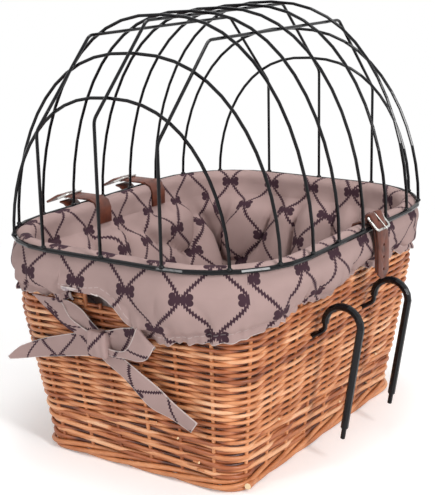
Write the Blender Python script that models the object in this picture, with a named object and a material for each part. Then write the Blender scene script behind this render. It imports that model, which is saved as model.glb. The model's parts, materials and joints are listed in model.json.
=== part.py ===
"""Dog bicycle basket: a woven willow basket with a cloth liner and a hinged wire dome.

+Z is up, +Y is the side that hangs on the handlebar, and the origin is the middle of the underside.
Every size is in metres.
"""

import math

import bmesh
import bpy
from mathutils import Vector

# Wire dome: the ring and the arches are measured on their centre lines
RIM_LENGTH = 0.430
RIM_WIDTH = 0.340
RIM_CORNER = 0.103
RIM_HEIGHT = 0.235
RIM_WIRE = 0.005
DOME_HEIGHT = 0.222
DOME_WIRE = 0.0034
ARCH_PLACE_SHARES = (0.0, 0.244, 0.484, 0.707, 0.893)
ARCH_SIDE_POWER = 2.36
ARCH_TOP_POWER = 1.86
ARCH_STEPS = 26
BAR_SPACING = 0.072
BAR_LEVEL_HALF = 0.129
BAR_FALL_SHARE = 0.985
BAR_BEND = 0.012

# Wicker body: outer sizes at the foot, and what the weave is made of
BASE_LENGTH = 0.360
BASE_WIDTH = 0.260
BASE_CORNER = 0.028
BASE_THICKNESS = 0.010
WALL_THICKNESS = 0.008
FOOT_HEIGHT = 0.0135
FOOT_WIDTH = 0.015
BORDER_WIDTH = 0.014
BORDER_INSET = 0.011
WALL_LEVEL_SHARES = ((0.0, 0.0), (0.36, 0.05), (0.70, 0.12), (0.80, 0.35), (0.90, 0.72), (1.0, 1.0))
HAND_HOLE_WIDTH = 0.090
HAND_HOLE_HEIGHT = 0.030
HAND_HOLE_DROP = 0.055
HAND_HOLE_CORNER = 0.010

# Cloth liner
CLOTH = 0.0022
COLLAR_INNER_DROP = 0.018
COLLAR_CLEARANCE = 0.0003
SKIRT_PROUD = 0.004
SKIRT_FOLD = 0.002
SKIRT_FOLDS = 11
HEM_SIDE_DROP = 0.052
HEM_END_DROP = 0.074
HEM_STAND_OFF = 0.006
SKIRT_CORNER_SHARE = 0.72
SLIT_FROM = -0.062
SLIT_TO = 0.036
SLIT_TOP_DROP = 0.036
SLIT_POWER = 2.2
BAG_INSET = 0.0065
BAG_WAIST_DROP = 0.060
BAG_HEEL = 0.012
PAD_THICKNESS = 0.020
PAD_CLEARANCE = 0.002
PAD_DRAW_IN = 0.006

# Ribbon bows, measured from the knot
RIBBON = 0.003
KNOT_Y = -0.008
KNOT_DROP = 0.088
KNOT_LENGTH = 0.024
KNOT_HEIGHT = 0.028
KNOT_THICKNESS = 0.011
KNOT_CORNER = 0.004
LONG_TAIL_LENGTH = 0.140
LONG_TAIL_FALL = 0.024
LONG_TAIL_HEIGHT = 0.026
LOOP_LENGTH = 0.050
LOOP_HEIGHT = 0.034
LOOP_THICKNESS = 0.009
SHORT_TAIL_LENGTH = 0.098
SHORT_TAIL_FALL = 0.084
SHORT_TAIL_WIDTH = 0.017
TIE_HEIGHT = 0.009
TIE_SEAM = 0.030

# Leather straps and their buckles
STRAP_WIDTH = 0.024
STRAP_THICKNESS = 0.0022
STRAP_CLEARANCE = 0.0004
INNER_LEG_DROP = 0.022
CLOSURE_PLACE_SHARE = -0.122
HINGE_PLACE_SHARES = (0.122, -0.366)
CLOSURE_TAIL_DROP = 0.054
CLOSURE_BASE_DROP = 0.046
CLOSURE_HEEL_RISE = 0.012
CLOSURE_TURN_DROP = 0.001
CLOSURE_SLACK = 0.0015
HINGE_TIP_REACH = 0.021
HINGE_HEEL_REACH = 0.035
HINGE_TAIL_REACH = 0.060
HINGE_TAIL_FALL = 0.006
HINGE_BASE_DROP = 0.036
BUCKLE_WIRE = 0.0026
BUCKLE_CORNER = 0.003
BUCKLE_SIDE_CLEARANCE = 0.0008
PRONG_WIRE = 0.0016
PRONG_OVERHANG = 0.002
PRONG_SLOT = 0.0036
HOLE_DIAMETER = 0.0034
HOLE_SPACING = 0.013
HOLE_COUNT = 3

# Hanging hooks
HOOK_SPACING = 0.110
HOOK_ROD = 0.005
HOOK_SLEEVE = 0.008
HOOK_TOP_DROP = 0.064
HOOK_MOUTH = 0.040
HOOK_END_DROP = 0.205
HOOK_SLEEVE_END_DROP = 0.193
HOOK_INNER_LEG = 0.045
HOOK_INNER_BEND = 0.007
HOOK_HOLE_CLEARANCE = 0.0005

# Shared clearance and counts of faces
GAP = 0.0003
CORNER_STEPS = 6
LONG_STEPS = 14
SHORT_STEPS = 11
TUBE_SIDES = 8
OVERRUN = 0.010

# Worked out from the sizes above
RIM_HALF_X = RIM_LENGTH / 2
RIM_HALF_Y = RIM_WIDTH / 2
RIM_R = RIM_WIRE / 2
WIRE_R = DOME_WIRE / 2
BORDER_R = BORDER_WIDTH / 2
COLLAR_INNER_R = BORDER_R + GAP
COLLAR_OUTER_R = COLLAR_INNER_R + CLOTH
RIM_TO_BORDER = RIM_R + COLLAR_CLEARANCE + COLLAR_OUTER_R
BORDER_DROP = math.sqrt(RIM_TO_BORDER**2 - BORDER_INSET**2)
BORDER_HEIGHT = RIM_HEIGHT - BORDER_DROP
BORDER_CORNER = RIM_CORNER - BORDER_INSET
WALL_BOTTOM = FOOT_HEIGHT + GAP
WALL_TOP = BORDER_HEIGHT - BORDER_R - GAP
WALL_TOP_HALF = (
    RIM_HALF_X - BORDER_INSET + WALL_THICKNESS / 2,
    RIM_HALF_Y - BORDER_INSET + WALL_THICKNESS / 2,
)
WALL_TOP_CORNER = BORDER_CORNER + WALL_THICKNESS / 2
BAG_FLOOR = BASE_THICKNESS + GAP
BUCKLE_R = BUCKLE_WIRE / 2
PRONG_R = PRONG_WIRE / 2


def material(name, colour, roughness, metallic=0.0):
    """A Principled material with one colour, made once."""
    found = bpy.data.materials.get(name)
    if found:
        return found
    made = bpy.data.materials.new(name)
    made.use_nodes = True
    shader = made.node_tree.nodes["Principled BSDF"]
    shader.inputs["Base Color"].default_value = (*colour, 1)
    shader.inputs["Roughness"].default_value = roughness
    shader.inputs["Metallic"].default_value = metallic
    made.diffuse_color = (*colour, 1)
    return made


def willow():
    return material("peeled willow", (0.62, 0.33, 0.14), 0.55)


def cotton():
    return material("printed cotton", (0.50, 0.36, 0.32), 0.90)


def coated_wire():
    return material("black coated wire", (0.015, 0.015, 0.017), 0.30)


def leather():
    return material("brown leather", (0.26, 0.09, 0.05), 0.55)


def bright_steel():
    return material("nickelled steel", (0.75, 0.75, 0.74), 0.25, 1.0)


def soft_plastic():
    return material("black soft plastic", (0.02, 0.02, 0.022), 0.35)


def add_mesh(name, shape, finish):
    """An object from a bmesh whose faces are turned outwards and shaded smooth on round stretches."""
    bmesh.ops.recalc_face_normals(shape, faces=shape.faces)
    mesh = bpy.data.meshes.new(name)
    shape.to_mesh(mesh)
    shape.free()
    mesh.shade_smooth()
    mesh.set_sharp_from_angle(angle=math.radians(40))
    mesh.materials.append(finish)
    made = bpy.data.objects.new(name, mesh)
    bpy.context.scene.collection.objects.link(made)
    return made


def loft(name, rings, finish, hollow=False):
    """Rings of equal count joined in order. A hollow loft closes on its first ring, another is capped."""
    shape = bmesh.new()
    rows = [[shape.verts.new(point) for point in ring] for ring in rings]
    pairs = list(zip(rows, rows[1:]))
    if hollow:
        pairs.append((rows[-1], rows[0]))
    for low, high in pairs:
        for i in range(len(low)):
            j = (i + 1) % len(low)
            shape.faces.new((low[i], low[j], high[j], high[i]))
    if not hollow:
        shape.faces.new(rows[0])
        shape.faces.new(rows[-1])
    return add_mesh(name, shape, finish)


def stations(half_x, half_y, corner, long_steps=LONG_STEPS, short_steps=SHORT_STEPS):
    """Points round a rounded rectangle, each with its outward normal."""
    found = []
    for turn, (side_x, side_y) in enumerate(((1, 1), (-1, 1), (-1, -1), (1, -1))):
        for step in range(CORNER_STEPS + 1):
            angle = math.radians(90 * (turn + step / CORNER_STEPS))
            normal = Vector((math.cos(angle), math.sin(angle), 0))
            centre = Vector((side_x * (half_x - corner), side_y * (half_y - corner), 0))
            found.append((centre + corner * normal, normal))
        steps = long_steps if turn % 2 == 0 else short_steps
        start, normal = found[-1]
        length = 2 * (half_x if turn % 2 == 0 else half_y) - 2 * corner
        along = Vector((-normal.y, normal.x, 0))
        for step in range(1, steps):
            found.append((start + along * length * step / steps, normal))
    return found


def flat_ring(half_x, half_y, corner, height, long_steps=1, short_steps=1):
    """One ring of a loft at a height."""
    around = stations(half_x, half_y, corner, long_steps, short_steps)
    return [point + Vector((0, 0, height)) for point, _ in around]


def wall_share(height):
    return (height - WALL_BOTTOM) / (WALL_TOP - WALL_BOTTOM)


def wall_corner(height):
    """Outer corner radius of the weave: small low down, and as round as the ring at the top."""
    share = min(max(wall_share(height), 0), 1)
    for (low, low_turn), (high, high_turn) in zip(WALL_LEVEL_SHARES, WALL_LEVEL_SHARES[1:]):
        if share <= high:
            turn = low_turn + (high_turn - low_turn) * (share - low) / (high - low)
            break
    return BASE_CORNER + (WALL_TOP_CORNER - BASE_CORNER) * turn


def wall_half(height):
    """Outer half length and half width of the weave at a height."""
    share = wall_share(height)
    half_x = BASE_LENGTH / 2 + (WALL_TOP_HALF[0] - BASE_LENGTH / 2) * share
    half_y = BASE_WIDTH / 2 + (WALL_TOP_HALF[1] - BASE_WIDTH / 2) * share
    return half_x, half_y


def wall_ring(height, offset, long_steps=1, short_steps=1):
    """A ring that lies outside the weave's outer face by offset."""
    half_x, half_y = wall_half(height)
    corner = wall_corner(height) + offset
    return flat_ring(half_x + offset, half_y + offset, corner, height, long_steps, short_steps)


def section_sweep(name, path, across, finish, closed=False):
    """Sections along a path in a plane of constant X.

    across holds one list of (x, n) points for each path point, with n along the path's normal.
    """
    rings = []
    count = len(path)
    for i, point in enumerate(path):
        before = path[max(i - 1, 0)]
        after = path[min(i + 1, count - 1)]
        leave = (Vector(after) - Vector(point)).normalized() if i < count - 1 else None
        arrive = (Vector(point) - Vector(before)).normalized() if i > 0 else leave
        leave = leave or arrive
        tangent = (arrive + leave).normalized()
        stretch = 1 / max(tangent.dot(leave), 0.5)
        normal = Vector((0, -tangent.z, tangent.y)) * stretch
        rings.append([Vector(point) + Vector((x, 0, 0)) + normal * n for x, n in across[i]])
    return loft(name, rings, finish, hollow=closed)


def circle_section(radius, turn_share=0.5, sides=TUBE_SIDES):
    angles = [2 * math.pi * (i + turn_share) / sides for i in range(sides)]
    return [(radius * math.cos(a), radius * math.sin(a)) for a in angles]


def planar_tube(name, path, radius, finish):
    """A solid round bar along a path of constant X."""
    return section_sweep(name, path, [circle_section(radius)] * len(path), finish)


def curve_tube(name, points, radius, finish, cyclic=False):
    """A solid round wire along any path."""
    curve = bpy.data.curves.new(name, "CURVE")
    curve.dimensions = "3D"
    curve.bevel_depth = radius
    curve.bevel_resolution = 2
    curve.use_fill_caps = not cyclic
    spline = curve.splines.new("POLY")
    spline.points.add(len(points) - 1)
    for spot, point in zip(spline.points, points):
        spot.co = (*point, 1)
    spline.use_cyclic_u = cyclic
    curve.materials.append(finish)
    made = bpy.data.objects.new(name, curve)
    bpy.context.scene.collection.objects.link(made)
    return made


def bent(corners, radii, steps=4):
    """A path through corners, each rounded to its radius."""
    points = [Vector(corners[0])]
    for before, corner, after, radius in zip(corners, corners[1:], corners[2:], radii):
        corner = Vector(corner)
        back = (Vector(before) - corner).normalized()
        on = (Vector(after) - corner).normalized()
        half = back.angle(on) / 2
        reach = radius / math.tan(half)
        middle = corner + (back + on).normalized() * radius / math.sin(half)
        start = corner + back * reach - middle
        end = corner + on * reach - middle
        for step in range(steps + 1):
            points.append(middle + radius * start.slerp(end, step / steps))
    points.append(Vector(corners[-1]))
    return points


def box(name, low, high, finish, corner=0.0):
    """A block between two corners, with its edges rounded."""
    shape = bmesh.new()
    bmesh.ops.create_cube(shape, size=1)
    size = Vector(high) - Vector(low)
    middle = (Vector(high) + Vector(low)) / 2
    for vert in shape.verts:
        vert.co = Vector([c * s for c, s in zip(vert.co, size)]) + middle
    if corner:
        edges = shape.edges[:]
        bmesh.ops.bevel(shape, geom=edges, offset=corner, segments=2, profile=0.5, affect="EDGES")
    return add_mesh(name, shape, finish)


def as_cutter(helper):
    helper.hide_render = True
    helper.display_type = "WIRE"
    return helper


def boolean(target, helper, operation):
    cut = target.modifiers.new(helper.name, "BOOLEAN")
    cut.operation = operation
    cut.solver = "EXACT"
    cut.object = as_cutter(helper)


# Wicker body


def make_base():
    """The woven floor, level with the foot border so that both rest on the ground."""
    inset = (WALL_THICKNESS + FOOT_WIDTH) / 2 + GAP
    corner = BASE_CORNER - inset
    low = flat_ring(BASE_LENGTH / 2 - inset, BASE_WIDTH / 2 - inset, corner, 0)
    high = [point + Vector((0, 0, BASE_THICKNESS)) for point in low]
    loft("basket_base", [low, high], willow())


def make_foot_border():
    """The plaited border under the walls, flat below."""
    half_x = (BASE_LENGTH - WALL_THICKNESS) / 2
    half_y = (BASE_WIDTH - WALL_THICKNESS) / 2
    corner = BASE_CORNER - WALL_THICKNESS / 2
    half = FOOT_WIDTH / 2
    edge = FOOT_HEIGHT / 4
    outline = (
        (half - edge, 0),
        (half, edge),
        (half, FOOT_HEIGHT - edge),
        (half - edge, FOOT_HEIGHT),
        (edge - half, FOOT_HEIGHT),
        (-half, FOOT_HEIGHT - edge),
        (-half, edge),
        (edge - half, 0),
    )
    rings = [flat_ring(half_x + n, half_y + n, corner + n, z) for n, z in outline]
    loft("foot_border", rings, willow(), hollow=True)


def make_side_weave():
    """The four walls, with a hand hole in each short one and a hole for each hook rod."""
    heights = [WALL_BOTTOM + (WALL_TOP - WALL_BOTTOM) * share for share, _ in WALL_LEVEL_SHARES]
    outer = [wall_ring(height, 0) for height in heights]
    inner = [wall_ring(height, -WALL_THICKNESS) for height in reversed(heights)]
    weave = loft("side_weave", outer + inner, willow(), hollow=True)
    low = RIM_HEIGHT - HAND_HOLE_DROP
    faces = [wall_half(height)[0] for height in (low, low + HAND_HOLE_HEIGHT)]
    for side, name in ((-1, "hand_hole_left"), (1, "hand_hole_right")):
        ends = sorted((side * (min(faces) - WALL_THICKNESS - OVERRUN), side * (max(faces) + OVERRUN)))
        hole = box(
            name,
            (ends[0], -HAND_HOLE_WIDTH / 2, low),
            (ends[1], HAND_HOLE_WIDTH / 2, low + HAND_HOLE_HEIGHT),
            willow(),
            HAND_HOLE_CORNER,
        )
        boolean(weave, hole, "DIFFERENCE")
    for side in (-1, 1):
        path = hook_path(side)
        hole_r = HOOK_ROD / 2 + HOOK_HOLE_CLEARANCE
        hole = planar_tube(f"hook_hole_{side}", path, hole_r, willow())
        boolean(weave, hole, "DIFFERENCE")


def make_top_border():
    """The plaited border round the mouth."""
    outline = circle_section(BORDER_R, 0)
    half_x = RIM_HALF_X - BORDER_INSET
    half_y = RIM_HALF_Y - BORDER_INSET
    rings = [
        flat_ring(half_x + n, half_y + n, BORDER_CORNER + n, BORDER_HEIGHT + z) for n, z in outline
    ]
    loft("top_border", rings, willow(), hollow=True)


# Cloth liner


def hem_drop(point, normal):
    """How far below the ring the skirt's hem hangs, with the slit over each hand hole."""
    drop = HEM_SIDE_DROP + (HEM_END_DROP - HEM_SIDE_DROP) * normal.x**2
    share = (point.y - SLIT_FROM) / (SLIT_TO - SLIT_FROM)
    if abs(normal.x) > 0.99 and 0 <= share <= 1:
        drop = SLIT_TOP_DROP + (HEM_END_DROP - SLIT_TOP_DROP) * share**SLIT_POWER
    return drop


def collar_face(radius, thickness):
    """Rings of one face of the collar, from its inner edge over the border to the hem.

    radius is the face's distance from the border's centre line, thickness how far it lies inside
    the skirt's outer face.
    """
    half_x = RIM_HALF_X - BORDER_INSET
    half_y = RIM_HALF_Y - BORDER_INSET
    rings = []
    profile = [(-radius, -COLLAR_INNER_DROP)]
    for angle in (180, 135, 90, 45, 0):
        turn = math.radians(angle)
        profile.append((radius * math.cos(turn), radius * math.sin(turn)))
    for n, z in profile:
        around = stations(half_x + n, half_y + n, BORDER_CORNER + n)
        rings.append([point + Vector((0, 0, BORDER_HEIGHT + z)) for point, _ in around])
    proud = SKIRT_PROUD - thickness
    bulge_corner = RIM_CORNER * SKIRT_CORNER_SHARE + proud
    bulge = stations(RIM_HALF_X + proud, RIM_HALF_Y + proud, bulge_corner)
    middle = []
    hem = []
    for i, (point, normal) in enumerate(bulge):
        drop = hem_drop(point, normal)
        wave = SKIRT_FOLD * math.sin(2 * math.pi * SKIRT_FOLDS * i / len(bulge))
        middle.append(point + normal * wave + Vector((0, 0, RIM_HEIGHT - drop / 2)))
        height = RIM_HEIGHT - drop
        hem_half_x, hem_half_y = wall_half(height)
        offset = HEM_STAND_OFF - thickness
        corner = wall_corner(height) + offset
        edge, _ = stations(hem_half_x + offset, hem_half_y + offset, corner)[i]
        if abs(normal.x) > 0.99 and abs(point.y) < RIM_HALF_Y + proud - bulge_corner - GAP:
            edge.y = point.y
        hem.append(edge + Vector((0, 0, height)))
    return rings + [middle, hem]


def make_liner_collar():
    """The cloth that folds over the border and hangs outside to its gathered hem."""
    outer = collar_face(COLLAR_OUTER_R, 0)
    inner = collar_face(COLLAR_INNER_R, CLOTH)
    loft("liner_collar", outer + inner[::-1], cotton(), hollow=True)


def bag_face(inset):
    """Rings of one face of the bag, from its mouth down to its bottom."""
    mouth = BORDER_HEIGHT - COLLAR_INNER_DROP - GAP
    offset = -COLLAR_INNER_R - inset
    half_x = RIM_HALF_X - BORDER_INSET + offset
    half_y = RIM_HALF_Y - BORDER_INSET + offset
    rings = [flat_ring(half_x, half_y, BORDER_CORNER + offset, mouth, 2, 2)]
    drop = -WALL_THICKNESS - BAG_INSET - inset
    waist = RIM_HEIGHT - BAG_WAIST_DROP
    heel = BAG_FLOOR + BAG_HEEL
    for height in (waist, (waist + heel) / 2, heel):
        rings.append(wall_ring(height, drop, 2, 2))
    bottom = BAG_FLOOR + inset
    half_x, half_y = wall_half(bottom)
    corner = wall_corner(bottom) + drop - BAG_HEEL / 4
    narrow = drop - BAG_HEEL / 4
    rings.append(flat_ring(half_x + narrow, half_y + narrow, max(corner, CLOTH), bottom, 2, 2))
    return rings


def make_liner_bag():
    """The inner bag, open above."""
    outer = bag_face(0)
    inner = bag_face(CLOTH)
    loft("liner_bag", outer[::-1] + inner, cotton())


def make_floor_pad():
    """The padded bottom panel: crowned on top, with sides drawn in between its corners."""
    low = BAG_FLOOR + CLOTH + GAP
    offset = -WALL_THICKNESS - BAG_INSET - CLOTH - BAG_HEEL / 4 - PAD_CLEARANCE
    half_x, half_y = wall_half(low)
    half_x += offset
    half_y += offset
    corner = max(wall_corner(low) + offset, BASE_CORNER / 2)
    # Each row is how far in from the edge, and how high, as shares of the half width and the thickness
    profile_shares = ((0.10, 0.0), (0.0, 0.25), (0.0, 0.45), (0.06, 0.72), (0.20, 0.90), (0.5, 1.0))
    rings = []
    for inset_share, height_share in profile_shares:
        inset = half_y * inset_share
        around = stations(half_x - inset, half_y - inset, corner, 6, 4)
        ring = []
        for point, normal in around:
            across = point.x / half_x if abs(normal.y) > 0.99 else point.y / half_y
            straight = max(abs(normal.x), abs(normal.y)) > 0.99
            pull = PAD_DRAW_IN * (1 - across**2) if straight else 0
            ring.append(point - normal * pull + Vector((0, 0, low + PAD_THICKNESS * height_share)))
        rings.append(ring)
    loft("floor_pad", rings, cotton())


def make_bow(side, name):
    """A ribbon bow over a hand hole: a knot, a long tail, a loop, a short tail, and the tie to the hem."""
    height = RIM_HEIGHT - KNOT_DROP
    wall_x = wall_half(height)[0]
    face = wall_x + HEM_STAND_OFF + GAP
    middle = face + KNOT_THICKNESS / 2

    def ribbon(part, places, heights, thickness):
        path = []
        across = []
        for (x, y, z), tall in zip(places, heights):
            path.append((side * x, KNOT_Y + y, height + z))
            half = thickness / 2
            across.append([(-half, -tall / 2), (half, -tall / 2), (half, tall / 2), (-half, tall / 2)])
        return section_sweep(f"{name}_{part}", path, across, cotton())

    knot = box(
        name,
        (side * middle - KNOT_THICKNESS / 2, KNOT_Y - KNOT_LENGTH / 2, height - KNOT_HEIGHT / 2),
        (side * middle + KNOT_THICKNESS / 2, KNOT_Y + KNOT_LENGTH / 2, height + KNOT_HEIGHT / 2),
        cotton(),
        KNOT_CORNER,
    )
    layer = KNOT_THICKNESS / 5
    inside = KNOT_LENGTH / 4
    long_tail = ribbon(
        "long_tail",
        (
            (middle + layer, inside, 0),
            (middle, -LONG_TAIL_LENGTH / 3, -LONG_TAIL_FALL / 5),
            (middle, -LONG_TAIL_LENGTH * 2 / 3, -LONG_TAIL_FALL / 2),
            (middle, -LONG_TAIL_LENGTH, -LONG_TAIL_FALL),
        ),
        (LONG_TAIL_HEIGHT * 0.8, LONG_TAIL_HEIGHT, LONG_TAIL_HEIGHT * 0.85, LONG_TAIL_HEIGHT * 0.25),
        RIBBON,
    )
    loop = ribbon(
        "loop",
        (
            (middle, -inside / 2, 0),
            (middle, LOOP_LENGTH / 2, LOOP_HEIGHT / 10),
            (middle, LOOP_LENGTH * 0.85, 0),
            (middle, LOOP_LENGTH, -LOOP_HEIGHT / 8),
        ),
        (LOOP_HEIGHT / 2, LOOP_HEIGHT, LOOP_HEIGHT * 0.85, LOOP_HEIGHT * 0.45),
        LOOP_THICKNESS,
    )
    low_middle = wall_half(height - SHORT_TAIL_FALL)[0] + HEM_STAND_OFF + RIBBON
    short_tail = ribbon(
        "short_tail",
        (
            (middle - layer, -inside, layer),
            ((middle + low_middle) / 2, SHORT_TAIL_LENGTH / 2, -SHORT_TAIL_FALL / 2),
            (low_middle, SHORT_TAIL_LENGTH, -SHORT_TAIL_FALL),
        ),
        (SHORT_TAIL_WIDTH, SHORT_TAIL_WIDTH, SHORT_TAIL_WIDTH * 0.7),
        RIBBON,
    )
    hem = RIM_HEIGHT - HEM_END_DROP
    seam_x = wall_half(hem)[0] + HEM_STAND_OFF - CLOTH / 2
    seam_z = hem - GAP - TIE_HEIGHT / 2 - height
    tie = ribbon(
        "tie",
        (
            (seam_x, SLIT_FROM - TIE_SEAM - KNOT_Y, seam_z),
            (seam_x, SLIT_FROM - KNOT_Y, seam_z),
            (middle, inside / 2, -layer),
        ),
        (TIE_HEIGHT, TIE_HEIGHT, TIE_HEIGHT),
        RIBBON,
    )
    for helper in (long_tail, loop, short_tail, tie):
        boolean(knot, helper, "UNION")


# Wire dome


def rim_half_width(x):
    """Half width of the ring at a place along it."""
    into_corner = abs(x) - (RIM_HALF_X - RIM_CORNER)
    if into_corner <= 0:
        return RIM_HALF_Y
    return RIM_HALF_Y - RIM_CORNER + math.sqrt(RIM_CORNER**2 - into_corner**2)


def arch_rise(y, half_width):
    """Height of an arch over its foot, as a share of its crest, and its slope there."""
    across = abs(y) / half_width
    inside = 1 - across**ARCH_SIDE_POWER
    share = inside ** (1 / ARCH_TOP_POWER)
    slope = (
        ARCH_SIDE_POWER
        * across ** (ARCH_SIDE_POWER - 1)
        / (ARCH_TOP_POWER * share ** (ARCH_TOP_POWER - 1) * half_width)
    )
    return share, slope


FOOT_RISE = RIM_R + GAP
WIRE_STEP = DOME_WIRE + GAP


def bar_level(y):
    """Height over the ring of a bar's level stretch, just under the tallest arches."""
    share, slope = arch_rise(y, RIM_HALF_Y)
    crest = DOME_HEIGHT - FOOT_RISE
    return FOOT_RISE + crest * share - WIRE_STEP * math.hypot(1, crest * slope)


def bar_height(x, y):
    """Height over the ring of a bar at a place along the dome."""
    return bar_level(y) - max(abs(x) - BAR_LEVEL_HALF, 0) * BAR_FALL_SHARE


def arch_crest(x):
    """Crest of an arch over the ring: the end arches tuck in under the falling bars."""
    if abs(x) <= BAR_LEVEL_HALF:
        return DOME_HEIGHT
    crest = bar_height(x, 0) - WIRE_STEP * math.hypot(1, BAR_FALL_SHARE)
    share, slope = arch_rise(BAR_SPACING, rim_half_width(x))
    for _ in range(3):
        lean = (crest - FOOT_RISE) * slope
        step = WIRE_STEP * math.sqrt(1 + BAR_FALL_SHARE**2 + lean**2)
        crest = min(crest, FOOT_RISE + (bar_height(x, BAR_SPACING) - step - FOOT_RISE) / share)
    return crest


def make_arch(name, x):
    """One cross arch: a superellipse that stands on the ring."""
    half_width = rim_half_width(x)
    crest = arch_crest(x) - FOOT_RISE
    points = []
    for step in range(ARCH_STEPS + 1):
        angle = math.pi * step / ARCH_STEPS
        y = half_width * abs(math.cos(angle)) ** (2 / ARCH_SIDE_POWER)
        z = crest * abs(math.sin(angle)) ** (2 / ARCH_TOP_POWER)
        y = math.copysign(y, math.cos(angle))
        points.append((x, y, RIM_HEIGHT + FOOT_RISE + z))
    planar_tube(name, points, WIRE_R, coated_wire())


def make_bar(name, y):
    """One long bar: upright from the ring, sloping in, level under the arches, and down again."""
    corners = []
    for side in (1, -1):
        shoulder = RIM_HEIGHT + bar_height(RIM_HALF_X, y)
        leg = [
            (side * RIM_HALF_X, y, RIM_HEIGHT + FOOT_RISE),
            (side * RIM_HALF_X, y, shoulder),
            (side * BAR_LEVEL_HALF, y, RIM_HEIGHT + bar_level(y)),
        ]
        corners += leg if side == 1 else leg[::-1]
    path = bent(corners, [BAR_BEND] * 4)
    curve_tube(name, path, WIRE_R, coated_wire())


def make_dome():
    """The ring, nine arches and three bars, spot welded on the real dome."""
    ring = flat_ring(RIM_HALF_X, RIM_HALF_Y, RIM_CORNER, RIM_HEIGHT)
    curve_tube("rim_wire", ring, RIM_R, coated_wire(), cyclic=True)
    half = [share * RIM_HALF_X for share in ARCH_PLACE_SHARES]
    places = sorted({x for place in half for x in (place, -place)}, reverse=True)
    for number, x in enumerate(places, 1):
        make_arch(f"arch_{number}", x)
    for name, y in (("bar_front", -BAR_SPACING), ("bar_middle", 0), ("bar_rear", BAR_SPACING)):
        make_bar(name, y)


# Leather straps. A place on one is (out, up) from the centre of the ring's long wire


def strap_point(side, x, out, up):
    return Vector((x, side * (RIM_HALF_Y + out), RIM_HEIGHT + up))


def strap(name, side, x, path, finish, tip=False):
    """A flat strap along a path, drawn to a point at its end if tip is set."""
    half = STRAP_THICKNESS / 2
    widths = [STRAP_WIDTH] * len(path)
    if tip:
        widths[-1] = STRAP_WIDTH / 3
    across = []
    for width in widths:
        across.append([(-width / 2, -half), (width / 2, -half), (width / 2, half), (-width / 2, half)])
    points = [strap_point(side, x, out, up) for out, up in path]
    return section_sweep(name, points, across, finish)


def over_collar():
    """The stretch of a strap from inside the liner up over the collar's crest."""
    radius = COLLAR_OUTER_R + STRAP_CLEARANCE * 2 + STRAP_THICKNESS / 2
    path = [(-BORDER_INSET - radius, -INNER_LEG_DROP)]
    for angle in (180, 135, 90):
        turn = math.radians(angle)
        path.append((-BORDER_INSET + radius * math.cos(turn), -BORDER_DROP + radius * math.sin(turn)))
    return path


OVER_RIM = RIM_R + STRAP_CLEARANCE + STRAP_THICKNESS / 2
LAYER = STRAP_THICKNESS + GAP
BAR_ON_STRAP = STRAP_THICKNESS / 2 + GAP + BUCKLE_R
PRONG_EYE = BUCKLE_R + GAP + PRONG_R
PRONG_ROOM = PRONG_EYE + PRONG_R + GAP
SKIRT_SIDE = SKIRT_PROUD + SKIRT_FOLD + STRAP_CLEARANCE


def make_buckle(name, side, x, tip_bar, heel_bar):
    """A wire frame with its tip bar over the strap and its heel bar under it."""
    half = STRAP_WIDTH / 2 + BUCKLE_SIDE_CLEARANCE + BUCKLE_R
    tip = strap_point(side, 0, *tip_bar)
    heel = strap_point(side, 0, *heel_bar)
    along = (heel - tip).normalized() * BUCKLE_CORNER
    points = []
    for end, inwards, sides in ((tip, along, (-1, 1)), (heel, -along, (1, -1))):
        for turn in sides:
            outer = end + Vector((x + turn * half, 0, 0))
            cut = Vector((turn * BUCKLE_CORNER, 0, 0))
            corner = [outer + inwards, outer + (inwards - cut) * 0.3, outer - cut]
            points += corner if turn == sides[0] else corner[::-1]
    curve_tube(name, points, BUCKLE_R, bright_steel(), cyclic=True)


def make_prong(name, side, x, tip_bar, heel_bar):
    """The buckle's tongue: an eye round the heel bar and an arm that rests on the tip bar."""
    tip = Vector((0, *tip_bar))
    heel = Vector((0, *heel_bar))
    along = (tip - heel).normalized()
    lift = Vector((0, -along.z, along.y)) if along.y < 0 else Vector((0, along.z, -along.y))
    lift = lift if lift.z > 0 else -lift
    path = []
    steps = 8
    for step in range(steps + 1):
        angle = math.radians(240) * (step / steps - 1)
        path.append(heel + (lift * math.cos(angle) + along * math.sin(angle)) * PRONG_EYE)
    path.append(tip + lift * PRONG_EYE + along * (BUCKLE_R + PRONG_OVERHANG))
    points = [strap_point(side, x, point.y, point.z) for point in path]
    planar_tube(name, points, PRONG_R, bright_steel())


def cut_slot(target, side, x, path):
    """A slot for the prong, along a stretch of a strap."""
    half = PRONG_SLOT / 2
    across = [
        (-half, -STRAP_THICKNESS),
        (half, -STRAP_THICKNESS),
        (half, STRAP_THICKNESS),
        (-half, STRAP_THICKNESS),
    ]
    points = [strap_point(side, x, out, up) for out, up in path]
    slot = section_sweep(f"{target.name}_slot", points, [across] * len(points), leather())
    boolean(target, slot, "DIFFERENCE")


def cut_holes(target, side, x, first, step):
    """Round holes along a strap's tail for other lengths."""
    for number in range(HOLE_COUNT):
        out = first[0] + step[0] * number
        up = first[1] + step[1] * number
        along = Vector((step[0], step[1])).normalized()
        reach = Vector((-along.y, along.x)) * OVERRUN / 2
        path = [
            strap_point(side, x, out - reach.x, up - reach.y),
            strap_point(side, x, out + reach.x, up + reach.y),
        ]
        hole = planar_tube(f"{target.name}_hole_{number}", path, HOLE_DIAMETER / 2, leather())
        boolean(target, hole, "DIFFERENCE")


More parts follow.
